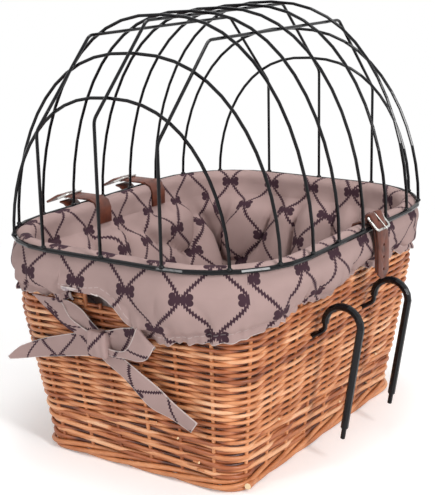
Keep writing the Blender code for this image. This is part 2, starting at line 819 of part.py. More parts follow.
def make_closure():
    """The strap on the handlebar side: one layer inside, and two outside that the buckle joins."""
    x = RIM_HALF_X * CLOSURE_PLACE_SHARE
    half = STRAP_THICKNESS / 2
    crest = over_collar()
    join = -RIM_R - GAP * 2
    strap("closure_inner_strap", 1, x, crest + [(join, crest[-1][1])], leather())
    start = Vector((join - half, crest[-1][1] + half + GAP))
    heel = Vector((start.x + BAR_ON_STRAP, CLOSURE_HEEL_RISE))
    turn = Vector((OVER_RIM + LAYER + CLOSURE_SLACK, -CLOSURE_TURN_DROP))
    base_out = SKIRT_SIDE + half
    tail_out = base_out + LAYER
    first_hole = Vector((tail_out, -CLOSURE_TAIL_DROP / 3))
    before_end = (tail_out, STRAP_WIDTH / 4 - CLOSURE_TAIL_DROP)
    fall = turn - heel
    lean = math.atan2(fall.x, -fall.y)
    over_heel = []
    steps = 5
    for step in range(steps + 1):
        angle = math.pi + (lean - math.pi) * step / steps
        over_heel.append(heel + BAR_ON_STRAP * Vector((math.cos(angle), math.sin(angle))))
    tail = strap(
        "closure_strap",
        1,
        x,
        [start, *over_heel, turn, first_hole, before_end, (tail_out, -CLOSURE_TAIL_DROP)],
        leather(),
        tip=True,
    )
    cut_slot(tail, 1, x, [(start.x, heel.y - PRONG_ROOM), *over_heel, over_heel[-1].lerp(turn, 0.5)])
    cut_holes(tail, 1, x, first_hole, (0, -HOLE_SPACING))
    above = (over_heel[-1] - turn).normalized()
    below = (turn - first_hole).normalized()
    out = (above + below).normalized()
    tip = turn + BAR_ON_STRAP * Vector((out.y, -out.x))
    base = [
        (heel.x + PRONG_R, heel.y - PRONG_ROOM),
        (OVER_RIM + PRONG_R, 0),
        (base_out, first_hole.y),
        (base_out, -CLOSURE_BASE_DROP),
    ]
    strap("closure_base_strap", 1, x, base, leather())
    make_buckle("closure_buckle", 1, x, tip, heel)
    make_prong("closure_prong", 1, x, tip, heel)
    bend = strap_point(1, 0, start.x - half - GAP / 2, start.y - GAP / 2)
    return bend, strap_point(1, 0, *heel)


def make_hinge(number, share):
    """A strap on the far side that the ring turns in, with its buckle standing out behind."""
    x = RIM_HALF_X * share
    half = STRAP_THICKNESS / 2
    crest = over_collar()
    high = max(OVER_RIM + GAP, crest[-1][1])
    tip = Vector((HINGE_TIP_REACH, high + BAR_ON_STRAP))
    heel = Vector((HINGE_HEEL_REACH, high - BAR_ON_STRAP))
    over_heel = [
        heel + BAR_ON_STRAP * Vector((-0.4, 1.0)),
        heel + BAR_ON_STRAP * Vector((0.5, 0.96)),
        heel + BAR_ON_STRAP * Vector((1.7, 0.4)),
    ]
    before_end = (HINGE_TAIL_REACH - STRAP_WIDTH / 4, -HINGE_TAIL_FALL * 0.6)
    path = crest + [(tip.x, high), *over_heel, before_end, (HINGE_TAIL_REACH, -HINGE_TAIL_FALL)]
    tail = strap(f"hinge_strap_{number}", -1, x, path, leather(), tip=True)
    cut_slot(tail, -1, x, [((tip.x + heel.x) / 2 - half, high), *over_heel])
    base_out = SKIRT_SIDE + half
    base = [
        (heel.x - PRONG_R, heel.y - PRONG_ROOM - half),
        (heel.x - PRONG_ROOM * 2, heel.y - PRONG_ROOM - LAYER),
        (base_out, -HINGE_BASE_DROP / 2),
        (base_out, -HINGE_BASE_DROP),
    ]
    strap(f"hinge_base_strap_{number}", -1, x, base, leather())
    make_buckle(f"hinge_buckle_{number}", -1, x, tip, heel)
    make_prong(f"hinge_prong_{number}", -1, x, tip, heel)
    return strap_point(-1, 0, *heel)


# Hook rods and sleeves


def hook_path(side):
    """Centre line of a hook rod, from its inner leg through the weave and round to its free end."""
    x = side * HOOK_SPACING / 2
    arc = HOOK_MOUTH / 2
    centre_height = RIM_HEIGHT - HOOK_TOP_DROP - arc
    root_y = wall_half(centre_height)[1] + HOOK_SLEEVE / 2 + GAP
    inner_height = centre_height - HOOK_MOUTH / 2
    inner_y = wall_half(inner_height - HOOK_INNER_LEG)[1] - WALL_THICKNESS - GAP - HOOK_ROD / 2
    inner_top_y = wall_half(inner_height)[1] - WALL_THICKNESS - GAP - HOOK_ROD / 2
    end_height = RIM_HEIGHT - HOOK_END_DROP
    fall = wall_half(centre_height)[1] - wall_half(end_height)[1]
    start = bent(
        [
            (x, inner_y, inner_height - HOOK_INNER_LEG),
            (x, inner_top_y, inner_height),
            (x, root_y, centre_height - HOOK_INNER_BEND),
            (x, root_y, centre_height),
        ],
        [HOOK_INNER_BEND, HOOK_INNER_BEND],
        3,
    )
    over = []
    steps = 10
    for step in range(1, steps):
        angle = math.pi * (1 - step / steps)
        over.append(
            Vector((x, root_y + arc * (1 + math.cos(angle)), centre_height + arc * math.sin(angle)))
        )
    outer_y = root_y + HOOK_MOUTH
    return start + over + [Vector((x, outer_y, centre_height)), Vector((x, outer_y - fall, end_height))]


def sleeve_path(side):
    """The part of the rod's centre line that the sleeve covers."""
    path = hook_path(side)
    centre_height = RIM_HEIGHT - HOOK_TOP_DROP - HOOK_MOUTH / 2
    first = next(i for i, point in enumerate(path) if point.z >= centre_height - GAP)
    covered = path[first:-1]
    outer, end = path[-2], path[-1]
    stop = (outer.z - (RIM_HEIGHT - HOOK_SLEEVE_END_DROP)) / (outer.z - end.z)
    return covered + [outer.lerp(end, stop)]


def make_hook(number, side):
    """A bent steel rod and the plastic sleeve that guards the handlebar."""
    planar_tube(f"hook_rod_{number}", hook_path(side), HOOK_ROD / 2, coated_wire())
    path = sleeve_path(side)
    bore = circle_section(HOOK_ROD / 2 + GAP)
    outside = circle_section(HOOK_SLEEVE / 2)
    around = path + path[::-1]
    shape = bmesh.new()
    rows = []
    for i, point in enumerate(around):
        at = i if i < len(path) else len(around) - 1 - i
        before = path[max(at - 1, 0)]
        after = path[min(at + 1, len(path) - 1)]
        tangent = (after - before).normalized()
        normal = Vector((0, -tangent.z, tangent.y))
        section = outside if i < len(path) else bore
        rows.append([shape.verts.new(point + Vector((a, 0, 0)) + normal * b) for a, b in section])
    for low, high in zip(rows, rows[1:] + rows[:1]):
        for i in range(len(low)):
            j = (i + 1) % len(low)
            shape.faces.new((low[i], low[j], high[j], high[i]))
    add_mesh(f"hook_sleeve_{number}", shape, soft_plastic())


def pivot(name, place, pieces, carrier=None):
    """An empty on a joint's axis that carries the pieces turning about it."""
    made = bpy.data.objects.new(name, None)
    bpy.context.scene.collection.objects.link(made)
    made.location = place
    if carrier:
        made.parent = carrier
        made.location = place - carrier.location
    for piece in pieces:
        piece.parent = made
        piece.location = -place
    return made


def named(*starts):
    return [one for one in bpy.data.objects if one.name.startswith(starts) and not one.hide_render]


def build():
    for old in list(bpy.data.objects):
        bpy.data.objects.remove(old, do_unlink=True)
    make_base()
    make_foot_border()
    make_side_weave()
    make_top_border()
    make_liner_collar()
    make_liner_bag()
    make_floor_pad()
    make_bow(1, "tie_bow_right")
    make_bow(-1, "tie_bow_left")
    make_dome()
    lid_axis = Vector((0, -RIM_HALF_Y, RIM_HEIGHT))
    lid = pivot("lid_axis", lid_axis, named("rim_wire", "arch_", "bar_"))
    bend, heel = make_closure()
    outside = named("closure_strap", "closure_base_strap", "closure_buckle")
    closure = pivot("closure_axis", bend, outside, lid)
    prong = pivot("closure_prong_axis", heel, named("closure_prong"))
    prong.parent = closure
    prong.location = heel - bend
    for number, share in enumerate(HINGE_PLACE_SHARES, 1):
        heel = make_hinge(number, share)
        pivot(f"hinge_prong_{number}_axis", heel, named(f"hinge_prong_{number}"))
    for number, side in enumerate((1, -1), 1):
        make_hook(number, side)


build()
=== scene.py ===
# %% [markdown]
# # A dog's bicycle basket, dressed with its weave and cloth
#
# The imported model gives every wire, strap and hook its true place. This lesson keeps the rigid
# steel and plastic pieces, apart from the hooks' inner legs, and builds what plain solids can't
# show: willow rods woven round their stakes, a gathered cotton liner with a bone and rope print,
# ribbon bows, and worn leather. All sizes are in metres.

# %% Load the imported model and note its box
import json
import math

import bpy
import numpy as np
from mathutils import Matrix, Vector, noise


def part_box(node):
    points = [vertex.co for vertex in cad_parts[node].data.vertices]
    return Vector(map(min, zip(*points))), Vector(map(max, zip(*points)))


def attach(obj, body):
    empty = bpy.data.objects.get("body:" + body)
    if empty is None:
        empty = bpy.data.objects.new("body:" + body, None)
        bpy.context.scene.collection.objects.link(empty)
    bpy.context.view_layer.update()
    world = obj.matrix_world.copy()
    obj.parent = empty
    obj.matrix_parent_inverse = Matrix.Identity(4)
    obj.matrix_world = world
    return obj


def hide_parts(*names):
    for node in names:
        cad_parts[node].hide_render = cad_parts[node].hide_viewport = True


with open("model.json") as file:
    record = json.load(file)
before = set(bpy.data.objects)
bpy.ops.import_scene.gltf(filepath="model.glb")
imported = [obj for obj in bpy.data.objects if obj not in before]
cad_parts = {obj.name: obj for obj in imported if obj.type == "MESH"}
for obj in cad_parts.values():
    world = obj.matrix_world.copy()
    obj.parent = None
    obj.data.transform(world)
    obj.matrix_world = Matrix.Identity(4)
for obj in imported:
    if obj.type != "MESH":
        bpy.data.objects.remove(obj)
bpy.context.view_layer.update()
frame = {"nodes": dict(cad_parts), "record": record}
nodes = frame["nodes"]

# %% [markdown]
# ## Sizes that the pieces share
#
# A basket maker thinks in rings: a ring at the foot, one at the mouth, and the weave between them.
# Every ring here is a rounded rectangle, so one function gives a point and its outward direction
# for a share of the way round, counted from the middle of the right-hand short side.

# %% Rings of the basket
RIM_HALF = (0.215, 0.170)  # the dome's ring: half its length and half its width
RIM_HEIGHT = 0.235
BORDER_HALF = (0.204, 0.159)  # the plaited border under the cloth
BORDER_CORNER = 0.092
BORDER_HEIGHT = 0.2295
WALL_LOW, WALL_HIGH = 0.0138, 0.2222
FLARE_FROM = 0.192  # from here up the wall flares out to the border
WALL_LEVELS = (WALL_LOW, FLARE_FROM, WALL_HIGH)
WALL_HALF_X, WALL_HALF_Y = (0.1748, 0.1980, 0.2080), (0.1248, 0.1522, 0.1630)
# Shares of the way up the wall, and the corner's radius there
WALL_CORNERS = ((0.0, 0.028), (0.36, 0.0314), (0.70, 0.0362), (0.80, 0.0518), (0.90, 0.077), (1.0, 0.096))
MEASURE_STEPS = 720


def ring(share, half_x, half_y, corner):
    """Points and outward normals on a rounded rectangle, anticlockwise from the middle of its +X side."""
    share = np.asarray(share, float) % 1.0
    flat_x, flat_y, arc = half_x - corner, half_y - corner, corner * math.pi / 2
    whole = flat_x + flat_y + arc
    first, second = flat_y / whole, (flat_y + arc) / whole
    quarter = np.floor(share * 4).astype(int) % 4
    place = share * 4 - np.floor(share * 4)
    place = np.where(quarter % 2 == 1, 1 - place, place)
    turn = np.clip((place - first) / (second - first), 0, 1) * math.pi / 2
    x = flat_x * (1 - np.clip((place - second) / (1 - second), 0, 1)) + corner * np.cos(turn)
    y = flat_y * np.clip(place / first, 0, 1) + corner * np.sin(turn)
    sign_x = np.where((quarter == 1) | (quarter == 2), -1, 1)
    sign_y = np.where(quarter >= 2, -1, 1)
    points = np.stack([x * sign_x, y * sign_y], -1)
    return points, np.stack([np.cos(turn) * sign_x, np.sin(turn) * sign_y], -1)


def wall_ring(share, height, offset=0.0):
    """Points and normals on the weave's outer face at a height, moved out by offset."""
    rise = (height - WALL_LOW) / (WALL_HIGH - WALL_LOW)
    half_x, half_y = (np.interp(height, WALL_LEVELS, half) for half in (WALL_HALF_X, WALL_HALF_Y))
    levels, corners = zip(*WALL_CORNERS)
    points, normals = ring(share, half_x, half_y, np.interp(rise, levels, corners))
    offset = np.asarray(offset, float)[..., None]
    return points + normals * offset, normals


def lifted(points, heights):
    """Flat points with their heights added."""
    heights = np.broadcast_to(heights, points.shape[:-1])
    return np.concatenate([points, heights[..., None]], -1)


around = np.linspace(0, 1, MEASURE_STEPS + 1)
mouth = ring(around, *BORDER_HALF, BORDER_CORNER)[0]
mouth_length = float(np.linalg.norm(np.diff(mouth, axis=0), axis=1).sum())
print(f"The mouth measures {mouth_length:.3f} m round")

# %% [markdown]
# ## Colours and nodes
#
# Colours are picked on a screen, so they are written as sRGB hex and turned to linear light once.
# A second helper adds a shader node and fills its inputs in order, which keeps each recipe short.

# %% Helpers for colour and shader nodes
NOISE_RANGE = (0.3, 0.7)  # a noise texture lies mostly between these


def linear(hex_colour):
    """The linear colour of an sRGB hex value."""
    channels = [int(hex_colour[i : i + 2], 16) / 255 for i in (1, 3, 5)]
    return (*[c / 12.92 if c <= 0.04045 else ((c + 0.055) / 1.055) ** 2.4 for c in channels], 1.0)


def add_node(tree, kind, *inputs, out=0, **settings):
    """Adds a node, sets or links its inputs in order (or by name, from a dict), and gives an output."""
    node = tree.nodes.new(kind)
    for name, value in settings.items():
        setattr(node, name, value)
    pairs = inputs[0].items() if inputs and isinstance(inputs[0], dict) else enumerate(inputs)
    for key, value in pairs:
        if isinstance(value, bpy.types.NodeSocket):
            tree.links.new(value, node.inputs[key])
        elif value is not None:
            node.inputs[key].default_value = value
    return node.outputs[out]


def start_material(name, **sockets):
    """A new material with its Principled shader's sockets set; returns it, its tree and its shader."""
    finish = bpy.data.materials.new(name)
    finish.use_nodes = True
    tree = finish.node_tree
    shader = tree.nodes["Principled BSDF"]
    for socket, value in sockets.items():
        shader.inputs[socket.replace("_", " ")].default_value = value
    return finish, tree, shader


def set_ramp(socket, stops):
    """Gives the colour ramp behind a socket its stops, as places and hex colours."""
    steps = socket.node.color_ramp.elements
    while len(steps) < len(stops):
        steps.new(0.5)
    for step, (place, colour) in zip(steps, stops):
        step.position = place
        step.color = linear(colour)
    return socket


# %% [markdown]
# ## Willow
#
# The rods are buff willow: boiled with the bark on, so that its tannin dyes the wood orange brown,
# then peeled and lightly varnished. To the eye that gives silky rods, no two alike, with fine
# streaks along the grain, darker knots, and pale wood wherever a rod was cut.

# %% Buff willow, peeled and varnished
GRAIN = 0.0007  # across a streak; real fibres are finer, drawn coarse enough to show
GRAIN_STRETCH = 12  # a streak is this many times as long as it is wide
PATCHES = 26.0  # changes of tone to the metre: one in about 4 cm
STREAK_DEPTH, PATCH_DEPTH = 0.34, 0.5


def willow(name, along, stops):
    """Willow with its grain along the rods: along is the stretch of the pattern on each axis."""
    finish, tree, shader = start_material(name, Roughness=0.46, Coat_Weight=0.12, Coat_Roughness=0.3)
    place = add_node(tree, "ShaderNodeTexCoord", out=3)
    stretched = add_node(tree, "ShaderNodeMapping", {"Vector": place, "Scale": along})
    fine = 1 / (GRAIN * GRAIN_STRETCH)
    streaks = add_node(tree, "ShaderNodeTexNoise", {"Vector": stretched, "Scale": fine, "Detail": 3.0})
    patches = add_node(tree, "ShaderNodeTexNoise", {"Vector": place, "Scale": PATCHES, "Detail": 2.0})
    tone = add_node(tree, "ShaderNodeAttribute", out=2, attribute_name="tone")
    streaked = add_node(
        tree, "ShaderNodeMath", streaks, STREAK_DEPTH, -STREAK_DEPTH / 2, operation="MULTIPLY_ADD"
    )
    patched = add_node(tree, "ShaderNodeMath", patches, PATCH_DEPTH, streaked, operation="MULTIPLY_ADD")
    mixed = add_node(tree, "ShaderNodeMath", tone, patched, operation="ADD")
    centred = add_node(tree, "ShaderNodeMath", mixed, -PATCH_DEPTH / 2, operation="ADD")
    ramp = set_ramp(add_node(tree, "ShaderNodeValToRGB", centred), stops)
    tree.links.new(ramp, shader.inputs["Base Color"])
    bump = add_node(tree, "ShaderNodeBump", {"Strength": 0.25, "Distance": 0.0004, "Height": streaks})
    tree.links.new(bump, shader.inputs["Normal"])
    return finish


WILLOW_STOPS = ((0.0, "#4C1E0C"), (0.3, "#A35A32"), (0.6, "#D38D5D"), (0.85, "#E8B187"), (1.0, "#F5D0B0"))
CUT_STOPS = ((0.0, "#D9B888"), (1.0, "#F6E3C0"))
weaver_willow = willow("buff willow, grain level", (1, 1, GRAIN_STRETCH), WILLOW_STOPS)
stake_willow = willow("buff willow, grain upright", (GRAIN_STRETCH, GRAIN_STRETCH, 1), WILLOW_STOPS)
cut_willow = willow("willow, cut end", (1, 1, 1), CUT_STOPS)
print("Willow:", weaver_willow.name, stake_willow.name, cut_willow.name)

# %% [markdown]
# ## One rod, bent many ways
#
# Every rod in the basket starts as the same kind of blank: a thin cylinder with rings along it. A
# copy of the blank is bent to its own path, which is what the maker's hands do. The copies are
# joined into one piece per kind of work, so each stays a separate piece of the basket. The blank's
# rings are cuts across its long edges only. A rod with many rings is cut twice: into a quarter as
# many lengths, and then each length into four.

# %% The rod blank and the bender
SIDES = 8
MOST_CUTS = 100  # the subdivide operator makes no more cuts than this in one go
LAST_SPLIT = 4
LONG_EDGE = 1e-5  # an edge that runs along the blank rises by more than this
SAME_SPOT = 1e-6  # points closer than this are merged where a ring closes


def deselect():
    """Leaves edit mode and clears the selection, since operators act on all that is selected."""
    if bpy.context.object and bpy.context.object.mode != "OBJECT":
        bpy.ops.object.mode_set(mode="OBJECT")
    bpy.ops.object.select_all(action="DESELECT")


def rod_blank(steps, capped):
    """A cylinder along Z with steps rings between its ends."""
    deselect()
    ends = "NGON" if capped else "NOTHING"
    bpy.ops.mesh.primitive_cylinder_add(vertices=SIDES, radius=1, depth=2, end_fill_type=ends)
    blank = bpy.context.object
    splits = [steps] if steps <= MOST_CUTS else [steps // LAST_SPLIT, LAST_SPLIT]
    for lengths in splits:
        bpy.ops.object.mode_set(mode="EDIT")
        bpy.ops.mesh.select_mode(type="EDGE")
        bpy.ops.mesh.select_all(action="DESELECT")
        bpy.ops.object.mode_set(mode="OBJECT")
        for edge in blank.data.edges:
            low, high = (blank.data.vertices[i].co.z for i in edge.vertices)
            edge.select = abs(low - high) > LONG_EDGE
        bpy.ops.object.mode_set(mode="EDIT")
        bpy.ops.mesh.subdivide(number_cuts=lengths - 1)
        bpy.ops.object.mode_set(mode="OBJECT")
    blank.data.attributes.new("tone", "FLOAT", "POINT")
    return blank


def bent_rod(blank, steps, path, across, up, wide, tall, tone):
    """A copy of the blank on a path; across and up are its section's directions, wide and tall its halves."""
    rod = blank.copy()
    rod.data = blank.data.copy()
    bpy.context.scene.collection.objects.link(rod)
    own = np.empty(len(rod.data.vertices) * 3)
    blank.data.vertices.foreach_get("co", own)
    own = own.reshape(-1, 3)
    level = np.rint((own[:, 2] + 1) / 2 * steps).astype(int)
    wide, tall, tone = (np.broadcast_to(v, steps + 1)[level][:, None] for v in (wide, tall, tone))
    bent = path[level] + across[level] * own[:, :1] * wide + up[level] * own[:, 1:2] * tall
    rod.data.vertices.foreach_set("co", bent.ravel())
    rod.data.attributes["tone"].data.foreach_set("value", tone.ravel())
    return rod


def joined(name, parts, finish, smooth=True):
    """Joins parts into one named piece, merges what touches, and turns its faces outwards."""
    deselect()
    for part in parts:
        part.select_set(True)
    piece = parts[0]
    bpy.context.view_layer.objects.active = piece
    if len(parts) > 1:
        bpy.ops.object.join()
    piece.name = piece.data.name = name
    bpy.ops.object.mode_set(mode="EDIT")
    bpy.ops.mesh.select_all(action="SELECT")
    bpy.ops.mesh.remove_doubles(threshold=SAME_SPOT)
    bpy.ops.mesh.normals_make_consistent(inside=False)
    bpy.ops.object.mode_set(mode="OBJECT")
    if smooth:
        bpy.ops.object.shade_smooth()
    piece.data.materials.clear()
    for one in finish if isinstance(finish, (list, tuple)) else [finish]:
        piece.data.materials.append(one)
    print(f"{name}: {len(piece.data.polygons)} faces")
    return piece


# %% [markdown]
# ## The four walls
#
# The walls are randing: single rods passed in front of one stake and behind the next, beaten down
# so that the rows touch. The lowest rows are waling, in front of two stakes and behind one, which
# locks the stakes and shows longer, slanting strokes. A modelled rod costs more than a bump map,
# but the shadowed notches beside each stake are what makes willow look like willow.

# %% Row heights, and how each row sways
STAKES = 30
STEPS_PER_STAKE = 6
ROW_STEPS = STAKES * STEPS_PER_STAKE
ROW_PITCH = 0.0037
WALE_TOP = 0.054
WALL_MIDDLE = -0.004
SWAY = 0.0026
TILT = 0.0006  # a rod rises as it comes forward, and so covers the gap behind it
ROD_HALF = 0.00190  # half a rod's depth
ROD_TALL = 0.545  # half a rod's height, as a share of the pitch, so that the rows just overlap
WALE_GIRTH, WALE_SWAY = 1.22, 0.7  # a waling rod against a randing one
WALE_LAP = 3  # a waling rod's pattern repeats after this many stakes
WALE_HOLD = 2.2  # the higher this is, the longer a waling rod lies flat in front of its stakes
WALE_SLANT, ROW_SLANT = 0.0011, 0.0003
PITCH_SPREAD = (0.9, 1.1)
LAST_ROW_ROOM = 0.3  # a row starts only where this share of the pitch is left
BEHIND_STAKE_SHADE = 0.40  # painted shade: a rod is drawn darker where it dips behind a stake
ROD_TONES = (0.26, 0.80)
# Waves round the basket, and how far they go: in tone, in girth as a share, and in height
TONE_WANDER, GIRTH_WANDER, LEVEL_WANDER = ((3, 7, 13), 0.10), ((5, 9, 17), 0.14), ((2, 5, 11), 0.0005)
HOLE_LOW, HOLE_HIGH, HOLE_HALF = 0.180, 0.210, 0.045
EDGE_STAKE_Y = 0.0405
ROD_PAST_STAKE = 0.0016  # a row ends this far beyond the middle of the hole's edge stake
END_TUCK = 2.2  # a row's end is tucked in over the length of a stake's spacing divided by this
TUCK_FRONT, TUCK_BEHIND = 1, -0.2  # how far in front of the stakes the ends lie, in shares of SWAY
chance = np.random.default_rng(11)


def wander(share, waves, size):
    """A closed, smooth and slightly random curve round the basket."""
    total = np.zeros_like(share)
    for wave in waves:
        total += np.sin(2 * math.pi * (wave * share + chance.random())) * chance.uniform(0.5, 1)
    return total * size / len(waves)


def rod_tones(share):
    """The tone of each rod along a row: rods are about a metre long, so a ring holds one or two."""
    joins = np.sort(chance.random(2))
    tones = chance.uniform(*ROD_TONES, 3)
    tones[2] = tones[0]
    return tones[np.searchsorted(joins, share % 1.0)]


def row_sway(share, row, waling):
    """How far a row stands in front of (1) or behind (-1) the stakes, and its slant."""
    if waling:
        phase = 2 * math.pi * ((STAKES * share + row) / WALE_LAP)
        return np.tanh(WALE_HOLD * np.cos(phase)), -WALE_SLANT * np.sin(phase)
    phase = math.pi * (STAKES * share - 0.5 + row)
    return np.cos(phase), ROW_SLANT * np.sin(phase)


heights = []
height = WALL_LOW + ROW_PITCH / 2
while height < WALL_HIGH - ROW_PITCH * LAST_ROW_ROOM:
    heights.append(height)
    height += ROW_PITCH * chance.uniform(*PITCH_SPREAD)
print(f"{len(heights)} rows between {STAKES} stakes")

# %% Weave the rows
closed_blank = rod_blank(ROW_STEPS, capped=False)
open_steps = ROW_STEPS // 2
open_blank = rod_blank(open_steps, capped=True)


def weave_row(row, height, span=None):
    """One row as a closed ring, or as an arc between two shares where the hand holes break it."""
    waling = height < WALE_TOP
    steps = ROW_STEPS if span is None else open_steps
    share = np.linspace(*(span or (0, 1)), steps + 1)
    sway, slant = row_sway(share, row, waling)
    # Painted shade: each rod is darker where it dips behind a stake
    tones = rod_tones(share) + wander(share, *TONE_WANDER) - BEHIND_STAKE_SHADE * np.clip(-sway, 0, 1)
    thick = 1 + wander(share, *GIRTH_WANDER)
    level = height + slant + TILT * sway + wander(share, *LEVEL_WANDER)
    out = WALL_MIDDLE + SWAY * sway * (WALE_SWAY if waling else 1)
    girth = WALE_GIRTH if waling else 1.0
    if span is not None:
        to_end = np.minimum(share - span[0], span[1] - share)
        near_end = np.clip(1 - to_end * STAKES * END_TUCK, 0, 1)
        tucked = WALL_MIDDLE + SWAY * (TUCK_FRONT if row % 2 else TUCK_BEHIND)
        out = out * (1 - near_end) + tucked * near_end
    points, normals = wall_ring(share, level, out)
    path = lifted(points, level)
    across = lifted(normals, 0)
    up = np.tile([0.0, 0.0, 1.0], (steps + 1, 1))
    blank = closed_blank if span is None else open_blank
    tall = ROW_PITCH * ROD_TALL * girth * thick
    return bent_rod(blank, steps, path, across, up, ROD_HALF * thick, tall, tones)


PAST_HOLE, SEARCH_STEPS = 0.12, 240


def share_at(y, height):
    """The share of the way round at which the +X wall has this Y."""
    shares = np.linspace(0, PAST_HOLE, SEARCH_STEPS + 1)
    return float(np.interp(y, wall_ring(shares, height)[0][:, 1], shares))


plain_rows, wale_rows = [], []
for row, height in enumerate(heights):
    if HOLE_LOW < height < HOLE_HIGH:
        edge = share_at(EDGE_STAKE_Y + ROD_PAST_STAKE, height)
        plain_rows.append(weave_row(row, height, (edge, 0.5 - edge)))
        plain_rows.append(weave_row(row, height, (0.5 + edge, 1 - edge)))
    else:
        (wale_rows if height < WALE_TOP else plain_rows).append(weave_row(row, height))
randing = joined("wall_randing", plain_rows, weaver_willow)
waling = joined("wall_waling", wale_rows, weaver_willow)

# %% [markdown]
# ## The stakes
#
# Stakes stand from the floor to the top border. Where a hand hole breaks the wall they are cut and
# turned down, and a stouter stake edges the hole on both sides for the rows to wrap round.

# %% Stand the stakes
STAKE_STEPS = 24
STAKE_RADIUS = 0.0019
STAKE_WIDE = 1.15  # a stake is a little wider than it is deep
STAKE_LOW, STAKE_HIGH = 0.004, 0.228
STAKE_TONES = (0.2, 0.7)
STAKE_TURN = 0.001  # a cut stake reaches this far past the edge of the hole, where it is turned down
EDGE_STAKE_GIRTH, EDGE_STAKE_TONE = 1.15, 0.45
EDGE_STAKE_BELOW, EDGE_STAKE_ABOVE = 0.008, 0.006
SHORT_SIDE = 0.99  # the normal's X share on the flat of a short side is higher than this
stake_blank = rod_blank(STAKE_STEPS, capped=True)


def stake(shares, low, high, radius, tone):
    """An upright rod that follows the wall at the given share."""
    level = np.linspace(low, high, STAKE_STEPS + 1)
    points, normals = wall_ring(np.broadcast_to(shares, level.shape), level, WALL_MIDDLE)
    along = np.stack([-normals[:, 1], normals[:, 0]], -1)
    frames = (lifted(along, 0), lifted(normals, 0))
    halves = (radius * STAKE_WIDE, radius)
    return bent_rod(stake_blank, STAKE_STEPS, lifted(points, level), *frames, *halves, tone)


stakes = []
for k in range(STAKES):
    share = (k + 0.5) / STAKES
    tone = chance.uniform(*STAKE_TONES)
    point, normal = wall_ring(share, HOLE_LOW)
    spans = [(STAKE_LOW, STAKE_HIGH)]
    if abs(normal[0]) > SHORT_SIDE and abs(point[1]) < HOLE_HALF:
        spans = [(STAKE_LOW, HOLE_LOW + STAKE_TURN), (HOLE_HIGH - STAKE_TURN, STAKE_HIGH)]
    for low, high in spans:
        stakes.append(stake(share, low, high, STAKE_RADIUS, tone))
levels = np.linspace(HOLE_LOW - EDGE_STAKE_BELOW, HOLE_HIGH + EDGE_STAKE_ABOVE, STAKE_STEPS + 1)
edge_shares = np.array([share_at(EDGE_STAKE_Y, level) for level in levels])
for shares in (edge_shares, -edge_shares, 0.5 - edge_shares, 0.5 + edge_shares):
    stakes.append(stake(shares, levels[0], levels[-1], STAKE_RADIUS * EDGE_STAKE_GIRTH, EDGE_STAKE_TONE))
wall_stakes = joined("wall_stakes", stakes, stake_willow)

# %% [markdown]
# ## Plaited borders
#
# The foot and the mouth are finished with a rope of rods that lie round each other, four at the
# foot and three at the mouth. Each strand is a rod whose path winds round the border's middle line;
# the number of turns is a whole one, so the ends meet. Rods were trimmed along the foot and in the
# waling, and show their pale core. The stoutest of these ends lies at a corner of the foot.

# %% Twist the two borders
BORDER_STEPS = 264
FOOT_HALF, FOOT_CORNER, FOOT_HEIGHT = (0.1705, 0.1205), 0.0235, 0.0071
STRAND_TONES = (0.25, 0.6)
# Waves round the border, and how far they go in girth, as a share, and in tone
STRAND_GIRTH_WANDER, STRAND_TONE_WANDER = ((4, 9), 0.08), ((3, 8), 0.12)
border_blank = rod_blank(BORDER_STEPS, capped=False)


def plait(name, half, corner, height, wind, strand, turns, strands=3):
    """Strands that wind round a level ring, each one closed on itself."""
    parts = []
    share = np.linspace(0, 1, BORDER_STEPS + 1)
    points, normals = ring(share, *half, corner)
    middle = lifted(points, height)
    outward, up = lifted(normals, 0), np.tile([0.0, 0.0, 1.0], (BORDER_STEPS + 1, 1))
    for number in range(strands):
        turn = 2 * math.pi * (turns * share + number / strands)
        shift = np.cos(turn)[:, None] * outward + np.sin(turn)[:, None] * up
        path = middle + shift * wind
        thick = strand * (1 + wander(share, *STRAND_GIRTH_WANDER))
        tone = np.full(BORDER_STEPS + 1, chance.uniform(*STRAND_TONES)) + wander(share, *STRAND_TONE_WANDER)
        parts.append(bent_rod(border_blank, BORDER_STEPS, path, outward, up, thick, thick, tone))
    return joined(name, parts, weaver_willow)


foot = plait(
    "foot_plait", FOOT_HALF, FOOT_CORNER, FOOT_HEIGHT, wind=0.0042, strand=0.0027, turns=5, strands=4
)
top = plait("top_plait", BORDER_HALF, BORDER_CORNER, BORDER_HEIGHT, wind=0.0032, strand=0.0037, turns=11)

# %% Trimmed rod ends along the foot and the waling
END_STEPS = 4
END_BACK = 0.6  # this share of a trimmed end lies behind the point where it leaves the weave
END_RISE = 0.05
SMALL_ENDS, SMALL_END_HEIGHTS, SMALL_END_LEAN = 26, (0.018, 0.062), 0.8
END_TONE = 0.5
end_blank = rod_blank(END_STEPS, capped=True)


def trimmed_end(share, height, out, lean, length, radius):
    """A short cut rod that points out of the weave, leaning along the wall."""
    points, normals = wall_ring(share, height, out)
    start = Vector(lifted(points, height))
    normal = Vector((*normals, 0))
    along = Vector((-normal.y, normal.x, 0))
    way = (along * lean + normal * (1 - abs(lean)) + Vector((0, 0, END_RISE))).normalized()
    side = way.cross(Vector((0, 0, 1))).normalized()
    lift = side.cross(way)
    path = np.array([start + way * length * (i / END_STEPS - END_BACK) for i in range(END_STEPS + 1)])
    frames = (np.tile(side, (END_STEPS + 1, 1)), np.tile(lift, (END_STEPS + 1, 1)))
    return bent_rod(end_blank, END_STEPS, path, *frames, radius, radius, END_TONE)


